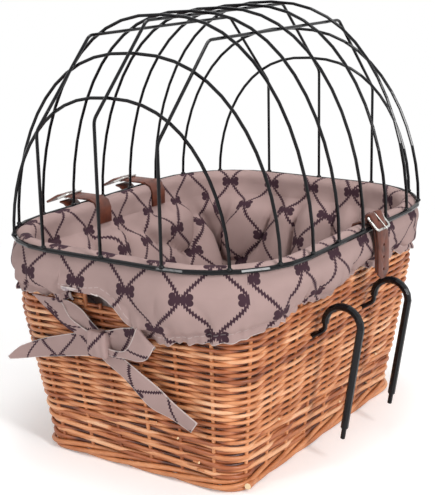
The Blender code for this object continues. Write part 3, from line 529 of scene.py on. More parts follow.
ends = [trimmed_end(share=0.1188, height=0.0068, out=0.0015, lean=-0.75, length=0.022, radius=0.0034)]
for _ in range(SMALL_ENDS):
    share, height = chance.random(), chance.uniform(*SMALL_END_HEIGHTS)
    lean = chance.choice((-SMALL_END_LEAN, SMALL_END_LEAN))
    ends.append(trimmed_end(share, height, out=-0.0002, lean=lean, length=0.008, radius=0.0014))
rod_ends = joined("trimmed_rod_ends", ends, [weaver_willow, cut_willow])
for face in rod_ends.data.polygons:
    face.material_index = 1 if len(face.vertices) > 4 else 0
    face.use_smooth = len(face.vertices) == 4

# %% [markdown]
# ## The woven floor
#
# Under the liner the floor is woven too: stout sticks along the basket, and rods passed over and
# under them from side to side. It only shows from below, but a basket gets turned over.

# %% Weave the floor
FLOOR_HALF = (0.1630, 0.1130)
FLOOR_MIDDLE = 0.0055
STICKS, STICK_INSET = 9, 0.006
STICK_HALVES, STICK_TONE = (0.0026, 0.0017), 0.4
STEPS_PER_STICK = 4
FLOOR_ROD_DEEP, FLOOR_ROD_WIDE, FLOOR_PITCH = 0.0014, 0.52, 1.05  # the last two in shares of ROW_PITCH
FLOOR_ROD_PAST = 0.004  # a floor rod runs this far past the outer sticks
FLOOR_ROD_TONES = (0.2, 0.8)
FIRST_ROD_IN, LAST_ROD_IN = 0.002, 0.001  # from the floor's ends
FLOOR_SWAY = 0.0026
FLOOR_DRIFT, FLOOR_DRIFT_WAVES = 0.0004, 0.7  # how far a rod strays sideways, and how often
floor_parts = []
stick_ys = np.linspace(-FLOOR_HALF[1] + STICK_INSET, FLOOR_HALF[1] - STICK_INSET, STICKS)
up_rows = np.tile([0.0, 0.0, 1.0], (STAKE_STEPS + 1, 1))
for y in stick_ys:
    xs = np.linspace(-FLOOR_HALF[0], FLOOR_HALF[0], STAKE_STEPS + 1)
    path = np.stack([xs, np.full_like(xs, y), np.full_like(xs, FLOOR_MIDDLE)], -1)
    across = np.tile([0.0, 1.0, 0.0], (STAKE_STEPS + 1, 1))
    floor_parts.append(bent_rod(stake_blank, STAKE_STEPS, path, across, up_rows, *STICK_HALVES, STICK_TONE))
floor_steps = (STICKS - 1) * STEPS_PER_STICK
floor_blank = rod_blank(floor_steps, capped=True)
ys = np.linspace(stick_ys[0], stick_ys[-1], floor_steps + 1)
ys[0] -= FLOOR_ROD_PAST
ys[-1] += FLOOR_ROD_PAST
across = np.tile([1.0, 0.0, 0.0], (floor_steps + 1, 1))
up_floor = np.tile([0.0, 0.0, 1.0], (floor_steps + 1, 1))
floor_halves = (ROW_PITCH * FLOOR_ROD_WIDE, FLOOR_ROD_DEEP)
first_x, last_x = -FLOOR_HALF[0] + FIRST_ROD_IN, FLOOR_HALF[0] - LAST_ROD_IN
floor_xs = np.arange(first_x, last_x, ROW_PITCH * FLOOR_PITCH)
for row, x in enumerate(floor_xs):
    phase = math.pi * (np.arange(floor_steps + 1) / STEPS_PER_STICK + row)
    zs = FLOOR_MIDDLE + FLOOR_SWAY * np.cos(phase)
    path = np.stack([x + FLOOR_DRIFT * np.sin(phase * FLOOR_DRIFT_WAVES + row), ys, zs], -1)
    tone = chance.uniform(*FLOOR_ROD_TONES)
    floor_parts.append(bent_rod(floor_blank, floor_steps, path, across, up_floor, *floor_halves, tone))
woven_floor = joined("woven_floor", floor_parts, weaver_willow)

for blank in (closed_blank, open_blank, stake_blank, border_blank, end_blank, floor_blank):
    bpy.data.objects.remove(blank)
for piece, node in (
    (randing, "side_weave"),
    (waling, "side_weave"),
    (wall_stakes, "side_weave"),
    (rod_ends, "side_weave"),
    (foot, "foot_border"),
    (top, "top_border"),
    (woven_floor, "basket_base"),
):
    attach(piece, "basket")
    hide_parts(node)

# %% [markdown]
# ## Printed cotton
#
# The liner is plain-woven cotton in taupe with a bone and rope lattice printed in aubergine. A
# print follows the cloth through its folds, so it is drawn from the UV map, which is laid out in
# metres. Folding the lattice with ping-pong leaves one quarter of a diamond to draw: two round
# knuckles and a shaft make the bone, and a scalloped line along the diagonal makes the rope.

# %% The lattice of bones and rope
CELLS = 22
HALF_CELL = (mouth_length / CELLS / 2, 0.035)
KNUCKLE_PLACE, KNUCKLE_RADIUS, SHAFT_HALF = (0.0076, 0.0026), 0.0032, 0.0028
ROPE_HALF, ROPE_TWIST, ROPE_SWAY = 0.00158, 0.0034, 0.0007
ROPE_SLANT, ROPE_SCALLOP = 0.8, 0.5  # how the twist leans, and how deep it notches the rope's edge
INK_BLUR = 0.0002  # half the width over which the ink ends


def bone_shapes(tree, here):
    """How far a place in the quarter diamond lies outside the knuckles and shafts of its two bones."""
    there = add_node(tree, "ShaderNodeVectorMath", (*HALF_CELL, 0), here, operation="SUBTRACT")
    middle, corner = (*KNUCKLE_PLACE, 0), (KNUCKLE_PLACE[0], SHAFT_HALF, 0)
    shapes = []
    for spot in (here, there):
        knuckle = add_node(tree, "ShaderNodeVectorMath", spot, middle, out=1, operation="DISTANCE")
        shapes.append(add_node(tree, "ShaderNodeMath", knuckle, KNUCKLE_RADIUS, operation="SUBTRACT"))
        beyond = add_node(tree, "ShaderNodeVectorMath", spot, corner, operation="SUBTRACT")
        sides = add_node(tree, "ShaderNodeSeparateXYZ", beyond)
        shapes.append(add_node(tree, "ShaderNodeMath", sides, sides.node.outputs[1], operation="MAXIMUM"))
    return shapes


def rope_shape(tree, here):
    """How far a place in the quarter diamond lies outside the twisted rope on its diagonal."""
    slant = Vector((*HALF_CELL, 0)).normalized()
    square = (slant.y, -slant.x, 0)
    length = Vector(HALF_CELL).length
    along = add_node(tree, "ShaderNodeVectorMath", here, slant, out=1, operation="DOT_PRODUCT")
    aside = add_node(tree, "ShaderNodeVectorMath", here, square, out=1, operation="DOT_PRODUCT")
    swing = add_node(tree, "ShaderNodeMath", along, 2 * math.pi / length, operation="MULTIPLY")
    swing = add_node(tree, "ShaderNodeMath", swing, operation="SINE")
    aside = add_node(tree, "ShaderNodeMath", swing, ROPE_SWAY, aside, operation="MULTIPLY_ADD")
    lay = add_node(tree, "ShaderNodeMath", aside, ROPE_SLANT, along, operation="MULTIPLY_ADD")
    lay = add_node(tree, "ShaderNodeMath", lay, 2 * math.pi / ROPE_TWIST, operation="MULTIPLY")
    lay = add_node(tree, "ShaderNodeMath", lay, operation="SINE")
    away = add_node(tree, "ShaderNodeMath", aside, operation="ABSOLUTE")
    away = add_node(tree, "ShaderNodeMath", lay, ROPE_HALF * ROPE_SCALLOP, away, operation="MULTIPLY_ADD")
    return add_node(tree, "ShaderNodeMath", away, ROPE_HALF, operation="SUBTRACT")


def inked(tree, across, down):
    """1 where the print lies and 0 beside it, for a place on the cloth in metres."""
    near_x = add_node(tree, "ShaderNodeMath", across, HALF_CELL[0], operation="PINGPONG")
    near_y = add_node(tree, "ShaderNodeMath", down, HALF_CELL[1], operation="PINGPONG")
    here = add_node(tree, "ShaderNodeCombineXYZ", near_x, near_y)
    nearest, *others = bone_shapes(tree, here) + [rope_shape(tree, here)]
    for shape in others:
        nearest = add_node(tree, "ShaderNodeMath", nearest, shape, operation="MINIMUM")
    return add_node(tree, "ShaderNodeMapRange", nearest, INK_BLUR, -INK_BLUR, 0.0, 1.0)


print(f"Half a cell of the print: {HALF_CELL[0] * 1000:.1f} x {HALF_CELL[1] * 1000:.1f} mm")

# %% Threads, stitches, and a painted highlight on the folded edge
THREAD = 0.0009  # a thread goes over and under once in this length, past two others
EDGE_FOLD, FOLD_HIGHLIGHT = 0.0010, 0.42  # the width of the folded edge, and how pale its painted highlight is
FOLD_FULL = 0.6  # the painted highlight is that pale up to this share of its width
STITCH_LINE, STITCH_LONG = 0.0085, 0.0032  # from the sewn edge, and half the way to the next stitch
STITCH_HALF, STITCH_GAP, STITCH_PALE = 0.0005, 0.3, 0.16


def woven(tree, across, down):
    """The threads of a plain weave, as hills and hollows from 1 to -1."""
    waves = []
    for way in (across, down):
        turns = add_node(tree, "ShaderNodeMath", way, 2 * math.pi / THREAD, operation="MULTIPLY")
        waves.append(add_node(tree, "ShaderNodeMath", turns, operation="SINE"))
    return add_node(tree, "ShaderNodeMath", *waves, operation="MULTIPLY")


def thread_and_edge_highlight(tree, across):
    """How much pale colour shows: a painted highlight along the folded edge, and the sewing thread in the
    stitches.
    """
    edge = add_node(tree, "ShaderNodeAttribute", out=2, attribute_name="edge")
    # Painted highlight: the folded edge is drawn paler, in the sewing thread's colour
    fold_highlight = add_node(tree, "ShaderNodeMapRange", edge, EDGE_FOLD, EDGE_FOLD * FOLD_FULL, 0.0, FOLD_HIGHLIGHT)
    row = add_node(tree, "ShaderNodeMath", edge, STITCH_LINE, STITCH_HALF, operation="COMPARE")
    gap = add_node(tree, "ShaderNodeMath", across, STITCH_LONG, operation="PINGPONG")
    gap = add_node(tree, "ShaderNodeMath", gap, STITCH_LONG * STITCH_GAP, operation="GREATER_THAN")
    stitch = add_node(tree, "ShaderNodeMath", row, gap, operation="MULTIPLY")
    stitch = add_node(tree, "ShaderNodeMath", stitch, STITCH_PALE, operation="MULTIPLY")
    return add_node(tree, "ShaderNodeMath", fold_highlight, stitch, operation="MAXIMUM")


# %% Cotton, printed on one side
# The sewing thread's colour, also used for the painted highlight on folded edges
THREAD_AND_HIGHLIGHT = "#E9E2DD"
CLOUDS, CLOUD_TINTS = 22.0, (0.93, 1.05)  # changes of tone to the metre, and the darkest and lightest
CREASES = 90.0  # small creases to the metre: one in about 1 cm
THREAD_TINT, THREAD_RELIEF = 0.03, 0.12


def cotton(name, ground, ink):
    """Plain-woven printed cotton; ground and ink are hex colours."""
    finish, tree, shader = start_material(name, Roughness=0.9, Specular_IOR_Level=0.2)
    across = add_node(tree, "ShaderNodeSeparateXYZ", add_node(tree, "ShaderNodeTexCoord", out=2))
    down = across.node.outputs[1]
    solid = add_node(tree, "ShaderNodeTexCoord", out=3)
    cloudy = add_node(tree, "ShaderNodeTexNoise", {"Vector": solid, "Scale": CLOUDS, "Detail": 3.0})
    tint = add_node(tree, "ShaderNodeMapRange", cloudy, *NOISE_RANGE, *CLOUD_TINTS)
    threads = woven(tree, across, down)
    tint = add_node(tree, "ShaderNodeMath", threads, THREAD_TINT, tint, operation="MULTIPLY_ADD")
    plain = add_node(tree, "ShaderNodeVectorMath", linear(ground)[:3], tint, operation="MULTIPLY")
    colours = {0: inked(tree, across, down), 6: plain, 7: linear(ink)}
    dyed = add_node(tree, "ShaderNodeMix", colours, out=2, data_type="RGBA")
    colours = {0: thread_and_edge_highlight(tree, across), 6: dyed, 7: linear(THREAD_AND_HIGHLIGHT)}
    shown = add_node(tree, "ShaderNodeMix", colours, out=2, data_type="RGBA")
    tree.links.new(shown, shader.inputs["Base Color"])
    creased = add_node(tree, "ShaderNodeTexNoise", {"Vector": solid, "Scale": CREASES, "Detail": 4.0})
    relief = add_node(tree, "ShaderNodeMath", threads, THREAD_RELIEF, creased, operation="MULTIPLY_ADD")
    bump = add_node(tree, "ShaderNodeBump", {"Strength": 0.35, "Distance": 0.0012, "Height": relief})
    tree.links.new(bump, shader.inputs["Normal"])
    return finish


print_face = cotton("printed cotton, right side", "#A68D89", "#3F2A33")
print_back = cotton("printed cotton, wrong side", "#BFB1AF", "#9A8D92")
print("Cotton:", print_face.name, "and", print_back.name)

# %% [markdown]
# ## The liner
#
# The liner is one cloth: it hangs inside as a bag, folds over the top border, and hangs outside as
# a skirt that an elastic gathers just above its hem. Over each hand hole the skirt is slit. It is
# laid out as one grid on that surface, then pushed in and out along its normals into folds, and
# parted where the maker sews the bag to the collar.

# %% Sizes of the liner
COLLAR_R = 0.0093  # the cloth's bend over the border
CLOTH = 0.0012
HEM_SIDE_DROP, HEM_END_DROP = 0.053, 0.075  # from the ring down to the hem, on the long and short sides
HEM_OUT = 0.0052
BULGE = 0.0022
SLIT_FROM, SLIT_TO, SLIT_TOP_DROP, SLIT_POWER = -0.052, 0.041, 0.0325, 3.8
SLIT_HALF = 5e-5  # half the slit, in shares of the way round
COLUMNS = 620
INNER_DROP = 0.018
BAG_OUT = -0.0160
BAG_HEEL, BAG_FLOOR = 0.012, 0.0126
HEEL_DRAW = 0.6  # how far the heel draws in, against its height
BAG_SETTLE = 0.024  # the bag reaches its own shape this far below the collar
SLACK, SLACK_DEEP, SLACK_POWER = 0.010, 0.15, 1.5
SEAM_SHARE = 0.113
CLEAR_OF_WEAVE = 0.0102  # the folds stop this far inside the wall's outer face
COLLAR_LIMIT = -0.0003  # the folds inside the collar go no further towards the border
SEAM_DEPTH, SEAM_WIDTH = 0.0014, 0.0020  # in metres, and in shares of the way round
LEG_ROOM, LEG_HEIGHT = 0.0030, 0.108  # further in where a hook's leg lies behind the weave
APEX = 0.44  # the share of the fall at which the skirt bulges most
END_REACH, END_SAMPLES = 0.1, 401  # places are sought this share either side of a short side's middle
FLAT_END = 0.995  # the normal's X share where the skirt may be slit is higher than this
UPPER_ROWS, LOWER_ROWS, CREST_ROWS, INNER_ROWS, BAG_ROWS, HEEL_ROWS = 12, 20, 10, 5, 44, 4
FLOOR_SCALES = (0.8, 0.5, 0.2, 0.0)


def end_share(y, side):
    """The share at which the bulge of the skirt has this Y on the short side +X (1) or -X (-1)."""
    near = np.linspace(-END_REACH, END_REACH, END_SAMPLES)
    share = float(np.interp(y, ring(near, *RIM_HALF, BORDER_CORNER)[0][:, 1], near))
    return share if side > 0 else 0.5 - share


def ease(value, low, high):
    """0 below low, 1 above high, smooth between."""
    x = np.clip((value - low) / (high - low), 0, 1)
    return x * x * (3 - 2 * x)


shares = list(np.linspace(SEAM_SHARE, SEAM_SHARE + 1, COLUMNS + 1))
slit_edges = [(end_share(SLIT_FROM, side) - SEAM_SHARE) % 1 + SEAM_SHARE for side in (1, -1)]
shares += [place + step for place in slit_edges for step in (-SLIT_HALF, SLIT_HALF)]
shares = np.array(sorted(shares))
count = len(shares)
print(count, "columns of cloth round the basket")

# %% The skirt at rest: the hem, the bulge and the slits
bulge_half = (RIM_HALF[0] + BULGE, RIM_HALF[1] + BULGE)
bulge, bulge_normal = ring(shares, *bulge_half, RIM_HALF[0] - BORDER_HALF[0] + BORDER_CORNER)
pulled_up = bulge[:, 1] < SLIT_FROM  # the tie draws the hem up on this side of the slit
on_ends = bulge_normal[:, 0] ** 2 * np.where(pulled_up, 0.0, 1.0)
hem_drop = HEM_SIDE_DROP + (HEM_END_DROP - HEM_SIDE_DROP) * on_ends
hem_height = RIM_HEIGHT - hem_drop
hem = wall_ring(shares, hem_height, HEM_OUT)[0]
crest = ring(shares, BORDER_HALF[0] + COLLAR_R, BORDER_HALF[1] + COLLAR_R, BORDER_CORNER + COLLAR_R)[0]
slit_share = (bulge[:, 1] - SLIT_FROM) / (SLIT_TO - SLIT_FROM)
inside_slit = (np.abs(bulge_normal[:, 0]) > FLAT_END) & (slit_share >= 0) & (slit_share <= 1)
slit_drop = SLIT_TOP_DROP + (HEM_END_DROP - SLIT_TOP_DROP) * np.clip(slit_share, 0, 1) ** SLIT_POWER
skirt_fall = BORDER_HEIGHT - hem_height
lowest = np.where(inside_slit, (BORDER_HEIGHT - RIM_HEIGHT + slit_drop) / skirt_fall, 1.0)
lower_steps = np.linspace(0, 1, LOWER_ROWS + 1)[:-1, None]
upper_steps = np.linspace(APEX, 0, UPPER_ROWS + 1)[:, None]
lower = lowest[None] + (APEX - lowest[None]) * lower_steps
upper = np.broadcast_to(upper_steps, (UPPER_ROWS + 1, count))
skirt_place = np.concatenate([lower, upper])
t = skirt_place[..., None]
flat = crest * (2 * t**2 - 3 * t + 1) + bulge * (4 * t - 4 * t**2) + hem * (2 * t**2 - t)
rows = [lifted(flat, BORDER_HEIGHT - skirt_fall * skirt_place)]
print("Skirt:", skirt_place.shape, "rows and columns")

# %% Over the border and down the inside
for angle in np.linspace(0, math.pi, CREST_ROWS + 1)[1:]:
    reach = COLLAR_R * math.cos(angle)
    over = ring(shares, BORDER_HALF[0] + reach, BORDER_HALF[1] + reach, BORDER_CORNER + reach)[0]
    rows.append(lifted(over, BORDER_HEIGHT + COLLAR_R * math.sin(angle))[None])
inner = ring(shares, BORDER_HALF[0] - COLLAR_R, BORDER_HALF[1] - COLLAR_R, BORDER_CORNER - COLLAR_R)[0]
for drop in np.linspace(0, INNER_DROP, INNER_ROWS + 1)[1:]:
    rows.append(lifted(inner, BORDER_HEIGHT - drop)[None])
collar_rows = sum(len(block) for block in rows)

bag_top = BORDER_HEIGHT - INNER_DROP
heel_top = BAG_FLOOR + BAG_HEEL
furthest = [np.full((collar_rows, count), COLLAR_LIMIT)]
for height in np.linspace(bag_top, heel_top, BAG_ROWS + 1)[1:]:
    settle = ease(bag_top - height, 0, BAG_SETTLE)
    slack = SLACK * math.sin(math.pi * np.clip((bag_top - height) / SLACK_DEEP, 0, 1)) ** SLACK_POWER
    body = wall_ring(shares, height, BAG_OUT - slack)[0]
    hung = inner * (1 - settle) + body * settle
    rows.append(lifted(hung, height)[None])
    wall, wall_normal = wall_ring(shares, height)
    furthest.append((np.sum((hung - wall) * wall_normal, -1) + CLEAR_OF_WEAVE)[None])
for angle in np.linspace(0, math.pi / 2, HEEL_ROWS + 1)[1:]:
    body = wall_ring(shares, heel_top, BAG_OUT - BAG_HEEL * (1 - math.cos(angle)) * HEEL_DRAW)[0]
    rows.append(lifted(body, heel_top - BAG_HEEL * math.sin(angle))[None])
for scale in FLOOR_SCALES:
    rows.append(lifted(body * scale, BAG_FLOOR)[None])
liner = np.concatenate(rows)
furthest = np.concatenate(furthest + [np.zeros((HEEL_ROWS + len(FLOOR_SCALES), count))])

# %% Lay the cloth out flat, in metres
steps = np.linalg.norm(np.diff(liner, axis=0), axis=2)
crest_row = UPPER_ROWS + LOWER_ROWS + CREST_ROWS // 2
fall = np.concatenate([np.zeros((1, count)), np.cumsum(steps, axis=0)])
fall = fall - fall[crest_row]
liner_uv = np.empty(liner.shape[:2] + (2,))
liner_uv[..., 0] = shares * CELLS * HALF_CELL[0] * 2
liner_uv[..., 1] = fall
print("Liner grid:", liner.shape, "hem to crest", round(float(-fall[0].min()), 3), "m")

# %% [markdown]
# ### Folds
#
# Cloth folds where something holds it: the elastic puckers the hem finely, the skirt drags softly
# between border and elastic, and the bag hangs from the border in long upright folds that are
# deepest in the corners. Each is a smooth function of the place on the cloth, so it is repeatable.

# %% Noise on cloth
NOISE_REACH = 1.6  # the noise is raised by this: it mostly stays within 1, and peaks go further
SWELL_POWER, VALLEY_DEPTH, VALLEY_WIDTH = 0.75, 0.22, 0.07


def grid_normals(surface):
    """Unit normals of a grid of points, along its columns cross its rows."""
    sideways = np.gradient(surface, axis=1)
    if np.allclose(surface[:, 0], surface[:, -1], atol=1e-6):
        sideways[:, 0] = sideways[:, -1] = surface[:, 1] - surface[:, -2]
    normals = np.cross(sideways, np.gradient(surface, axis=0))
    return normals / np.maximum(np.linalg.norm(normals, axis=-1, keepdims=True), 1e-12)


def noise_on(points):
    """Smooth noise at each point, mostly from -1 to 1."""
    values = np.array([noise.noise(Vector(point)) for point in points.reshape(-1, 3)])
    return values.reshape(points.shape[:-1]) * NOISE_REACH


def upright_noise(level, waves, sway, seed):
    """Noise that runs round the cloth in about this many waves and changes slowly with level."""
    angle = shares * 2 * math.pi
    radius = waves / (2 * math.pi)
    x = np.broadcast_to(np.cos(angle) * radius, level.shape) + seed
    y = np.broadcast_to(np.sin(angle) * radius, level.shape)
    return noise_on(np.stack([x, y, level * sway], -1))


def creases(level, waves, sway, seed):
    """Rounded swells between sharp upright valleys: below 0 in a valley, about 1 on a swell."""
    waves_here = upright_noise(level, waves, sway, seed)
    return np.abs(waves_here) ** SWELL_POWER - VALLEY_DEPTH * np.exp(-((waves_here / VALLEY_WIDTH) ** 2))


outside = np.zeros(liner.shape[:2])
outside[: len(skirt_place)] = skirt_place
height_of = liner[..., 2]
is_skirt = (np.arange(len(liner)) < len(skirt_place))[:, None]
in_bag = (np.arange(len(liner)) >= collar_rows)[:, None]
soft = noise_on(liner * 13.0)
print(f"Soft noise reaches {np.abs(soft).max():.2f}, and {np.mean(np.abs(soft) < 1):.1%} of it is within 1")

# %% Folds of the skirt
ELASTIC, ELASTIC_WIDTH = 0.87, 0.05  # its place down the skirt and its width, in shares of the fall
ELASTIC_GRIP = 0.0026
SLIT_GATHER, GATHER_CALM = 0.15, 0.5
# Waves round the basket, how fast they change down the skirt, and where in the noise they start
DRAG_WAVES, PUCKER_WAVES, SKIRT_WAVES = (34, 1.6, 3.0), (150, 0.7, 9.0), (36, 0.9, 5.0)
DRAG_BY_FALL = 4
SWAG_STRETCH, SWAG_START = np.array([9.0, 9.0, 26.0]), 31.0
# How far each kind of fold moves the cloth
SOFT_PUSH, SWAG_PUSH, DRAG_PUSH, PUCKER_PUSH, RUFFLE_PUSH = 0.0038, 0.0032, 0.0030, 0.0029, 0.0018
RUFFLE_OUT, SKIRT_PUSH, SKIRT_MIDDLE, HEM_FOLD_OUT = 0.0008, 0.0060, 0.45, 0.0007
# Where each kind starts and where it is full, in shares of the way down the skirt
SOFT_RAMP, SWAG_RAMP, DRAG_RAMP, FOLD_RAMP = (0.05, 0.4), (0.0, 0.3), (0.1, 0.6), (0.15, 0.7)
GATHER_FROM = 0.52
HEM_FOLD_RAMP = (0.115, 0.095)  # up from the slit's edge: no hem past the first, full before the second

drag = upright_noise(outside + fall * DRAG_BY_FALL, *DRAG_WAVES)
pucker_wave = upright_noise(outside, *PUCKER_WAVES)
gather = ease(outside, GATHER_FROM, ELASTIC) * np.where(inside_slit, SLIT_GATHER, 1.0)
calm = 1 - GATHER_CALM * gather
ruffle = ease(outside, ELASTIC, 1.0) * np.where(inside_slit, 0, 1)
swags = noise_on(liner * SWAG_STRETCH + SWAG_START)
folds = creases(outside, *SKIRT_WAVES) - SKIRT_MIDDLE
from_seam = ((shares - SEAM_SHARE) + 0.25) % 0.5 - 0.25
push = is_skirt * (
    SOFT_PUSH * soft * ease(outside, *SOFT_RAMP)
    + SWAG_PUSH * swags * ease(outside, *SWAG_RAMP)
    + DRAG_PUSH * drag * ease(outside, *DRAG_RAMP) * calm
    - SEAM_DEPTH * np.exp(-((from_seam / SEAM_WIDTH) ** 2))
    + PUCKER_PUSH * pucker_wave * gather
    + RUFFLE_PUSH * pucker_wave * ruffle
    + RUFFLE_OUT * ruffle
    + SKIRT_PUSH * folds * ease(outside, *FOLD_RAMP) * calm
    - ELASTIC_GRIP * np.exp(-(((outside - ELASTIC) / ELASTIC_WIDTH) ** 2)) * np.where(inside_slit, 0, 1)
)
hem_fold = ease(lowest - outside, *HEM_FOLD_RAMP) * inside_slit
push += is_skirt * HEM_FOLD_OUT * hem_fold
print(f"The skirt's folds reach {push.min() * 1000:.1f} to {push.max() * 1000:.1f} mm")

# %% Folds of the bag, calm beside the straps and clear of the weave
LONG_WAVES, SMALL_WAVES, GATHER_WAVES = (26, 5.0, 17.0), (70, 9.0, 29.0), (21, 6.0, 41.0)
LONG_PUSH, SMALL_PUSH, GATHER_PUSH, GATHER_MIDDLE, BAG_SOFT_PUSH = 0.0030, 0.0014, 0.0230, 0.30, 0.002
CRUMPLE, CRUMPLES, CRUMPLE_REACH = 0.0005, 55.0, 0.03
LEG_HALF_ROOM, LEG_HALF_HIGH, LEG_SOFTEN = 0.017, 0.034, 0.010
COLLAR_INSIDE = 0.008  # the bag's folds start this far past the crest
# In metres: the folds start this far above the bag, deepen over this much, and fade near the floor
FOLDS_ABOVE, TOP_RAMP, FOOT_RAMP = 0.016, (0, 0.034), (0.03, 0.075)
# How far from a strap's middle line, and how far below its foot, the folds deepen again
STRAP_RAMP, STRAP_GAP, STRAP_FOOT_RAMP = (0.009, 0.022), 0.002, (0, 0.02)

depth = ease(bag_top + FOLDS_ABOVE - height_of, *TOP_RAMP) * ease(height_of, *FOOT_RAMP)
for strap in ("hinge_strap_1", "hinge_strap_2", "closure_inner_strap"):
    strap_low, strap_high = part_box(strap)
    beside = ease(np.abs(liner[..., 0] - (strap_low.x + strap_high.x) / 2), *STRAP_RAMP)
    beneath = ease(strap_low.z - STRAP_GAP - height_of, *STRAP_FOOT_RAMP)
    other_side = liner[..., 1] * (strap_low.y + strap_high.y) < 0
    depth = depth * np.maximum(np.maximum(beside, beneath), other_side)
long_folds, small_folds = (upright_noise(height_of, *waves) for waves in (LONG_WAVES, SMALL_WAVES))
gathers = creases(height_of, *GATHER_WAVES) - GATHER_MIDDLE
bag_push = LONG_PUSH * long_folds + SMALL_PUSH * small_folds + GATHER_PUSH * gathers + BAG_SOFT_PUSH * soft
for hook in ("hook_rod_1", "hook_rod_2"):
    leg_low, leg_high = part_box(hook)
    from_leg = np.abs(liner[..., 0] - (leg_low.x + leg_high.x) / 2)
    near_leg = ease(LEG_HALF_ROOM - from_leg, 0, LEG_SOFTEN) * (liner[..., 1] > 0)
    level_with_leg = ease(LEG_HALF_HIGH - np.abs(height_of - LEG_HEIGHT), 0, LEG_SOFTEN)
    furthest = furthest + LEG_ROOM * near_leg * level_with_leg
bag_push = np.maximum(bag_push * depth, furthest)
push += np.where(in_bag | (~is_skirt & (fall > COLLAR_INSIDE)), bag_push, 0)
push += ~is_skirt * CRUMPLE * noise_on(liner * CRUMPLES) * (fall < CRUMPLE_REACH)
push[:, -1] = push[:, 0]
liner_folded = liner + grid_normals(liner) * push[..., None]
liner_folded[:, -1] = liner_folded[:, 0]
in_bag_mm = bag_push[collar_rows:] * 1000
print(f"The bag's folds reach {in_bag_mm.min():.1f} to {in_bag_mm.max():.1f} mm")

# %% [markdown]
# ### From grid to cloth
#
# A mesh grid is added with Blender's own operator, so that it brings a UV map, and its points are
# then laid on the surface. Solidify gives the cloth its thickness behind the printed side, with a
# second material for the wrong side.

# %% Bend a grid to a surface
SAME_STITCH = 2e-6  # points of cloth closer than this are merged
SHARP_FOLD = math.radians(70)


def grid_sheet(name, surface, flat, edge, thickness=CLOTH, gone=None, lining=print_back):
    """A grid bent to a surface; flat is its UV in metres, edge each point's distance from a stitched edge."""
    deselect()
    count_rows, count_columns = surface.shape[:2]
    bpy.ops.mesh.primitive_grid_add(x_subdivisions=count_columns - 1, y_subdivisions=count_rows - 1, size=1)
    piece = bpy.context.object
    piece.name = piece.data.name = name
    mesh = piece.data
    own = np.empty(len(mesh.vertices) * 3)
    mesh.vertices.foreach_get("co", own)
    own = own.reshape(-1, 3)
    column = np.rint((own[:, 0] + 0.5) * (count_columns - 1)).astype(int)
    row = np.rint((own[:, 1] + 0.5) * (count_rows - 1)).astype(int)
    mesh.vertices.foreach_set("co", surface[row, column].ravel())
    corners = np.empty(len(mesh.loops), int)
    mesh.loops.foreach_get("vertex_index", corners)
    mesh.uv_layers[0].data.foreach_set("uv", flat[row, column][corners].ravel())
    mesh.attributes.new("edge", "FLOAT", "POINT").data.foreach_set("value", edge[row, column].ravel())
    if gone is not None:
        bpy.ops.object.mode_set(mode="EDIT")
        bpy.ops.mesh.select_mode(type="FACE")
        bpy.ops.mesh.select_all(action="DESELECT")
        bpy.ops.object.mode_set(mode="OBJECT")
        for face in mesh.polygons:
            places = [(int(row[v]), int(column[v])) for v in face.vertices]
            face.select = bool(gone(min(places)[0], min(c for _, c in places)))
        bpy.ops.object.mode_set(mode="EDIT")
        bpy.ops.mesh.delete(type="FACE")
        bpy.ops.object.mode_set(mode="OBJECT")
    bpy.ops.object.mode_set(mode="EDIT")
    bpy.ops.mesh.select_all(action="SELECT")
    bpy.ops.mesh.remove_doubles(threshold=SAME_STITCH)
    bpy.ops.object.mode_set(mode="OBJECT")
    mesh.materials.append(print_face)
    mesh.materials.append(lining)
    area = sum(face.area for face in mesh.polygons)
    wall = piece.modifiers.new("thickness", "SOLIDIFY")
    wall.thickness = thickness
    wall.offset = -1
    wall.material_offset = 1
    bpy.ops.object.modifier_apply(modifier=wall.name)
    bpy.ops.object.shade_smooth_by_angle(angle=SHARP_FOLD)
    print(f"{name}: {len(mesh.polygons)} faces, {area:.4f} m2 of cloth")
    return piece


# %% Cut the collar and the bag
SECOND_LENGTH_SHIFT = -0.0175  # the liner is sewn from two lengths, and their prints don't line up
slit_columns = [int(np.searchsorted(shares, place)) - 1 for place in slit_edges]
hem_distance = fall - fall[0]
second_length = (shares - SEAM_SHARE) <= 0.5
liner_uv[..., 1] += np.where(second_length, SECOND_LENGTH_SHIFT, 0.0)
collar = grid_sheet(
    "liner_collar_cloth",
    liner_folded[:collar_rows],
    liner_uv[:collar_rows],
    hem_distance[:collar_rows],
    gone=lambda row, column: column in slit_columns and row < LOWER_ROWS,
)
bag = grid_sheet(
    "liner_bag_cloth",
    liner_folded[collar_rows - 1 :],
    liner_uv[collar_rows - 1 :],
    np.ones_like(fall[collar_rows - 1 :]),  # far from any sewn edge
)
for piece, node in ((collar, "liner_collar"), (bag, "liner_bag")):
    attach(piece, "basket")
    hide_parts(node)

# %% [markdown]
# ## Ribbon bows
#
# A ribbon of the same cotton runs in the hem's casing and comes out at the slit, where it is tied
# in a half bow: one long tail, one folded loop and one short tail that hangs across the weave. A
# ribbon can't stretch across its width, so each is drawn by its long edges, and the cloth is spanned
# between them. The loop's edges cross at its end, which is what folds it over, and the left tie has
# a third line, since it turns back over itself along the second.

# %% Ribbons between two edges
RIBBON = 0.0011
KNOT_Y, KNOT_DROP = -0.0130, 0.0900
KNOT_HEIGHT = RIM_HEIGHT - KNOT_DROP
BOW_OUT = 0.0068
MM = 0.001  # the bows' outlines are listed in millimetres
EDGE_MOST = 0.006  # the distance from an edge stops here, short of STITCH_LINE: ribbons have no stitches
LANES = 9
CROWN = 1.2  # millimetres that a ribbon bulges in its middle
RIPPLE, RIPPLE_ALONG, RIPPLE_ACROSS = 0.0006, 17, 2.3
PRINT_STRETCH = 1.12  # across a ribbon the print is laid out this much wider


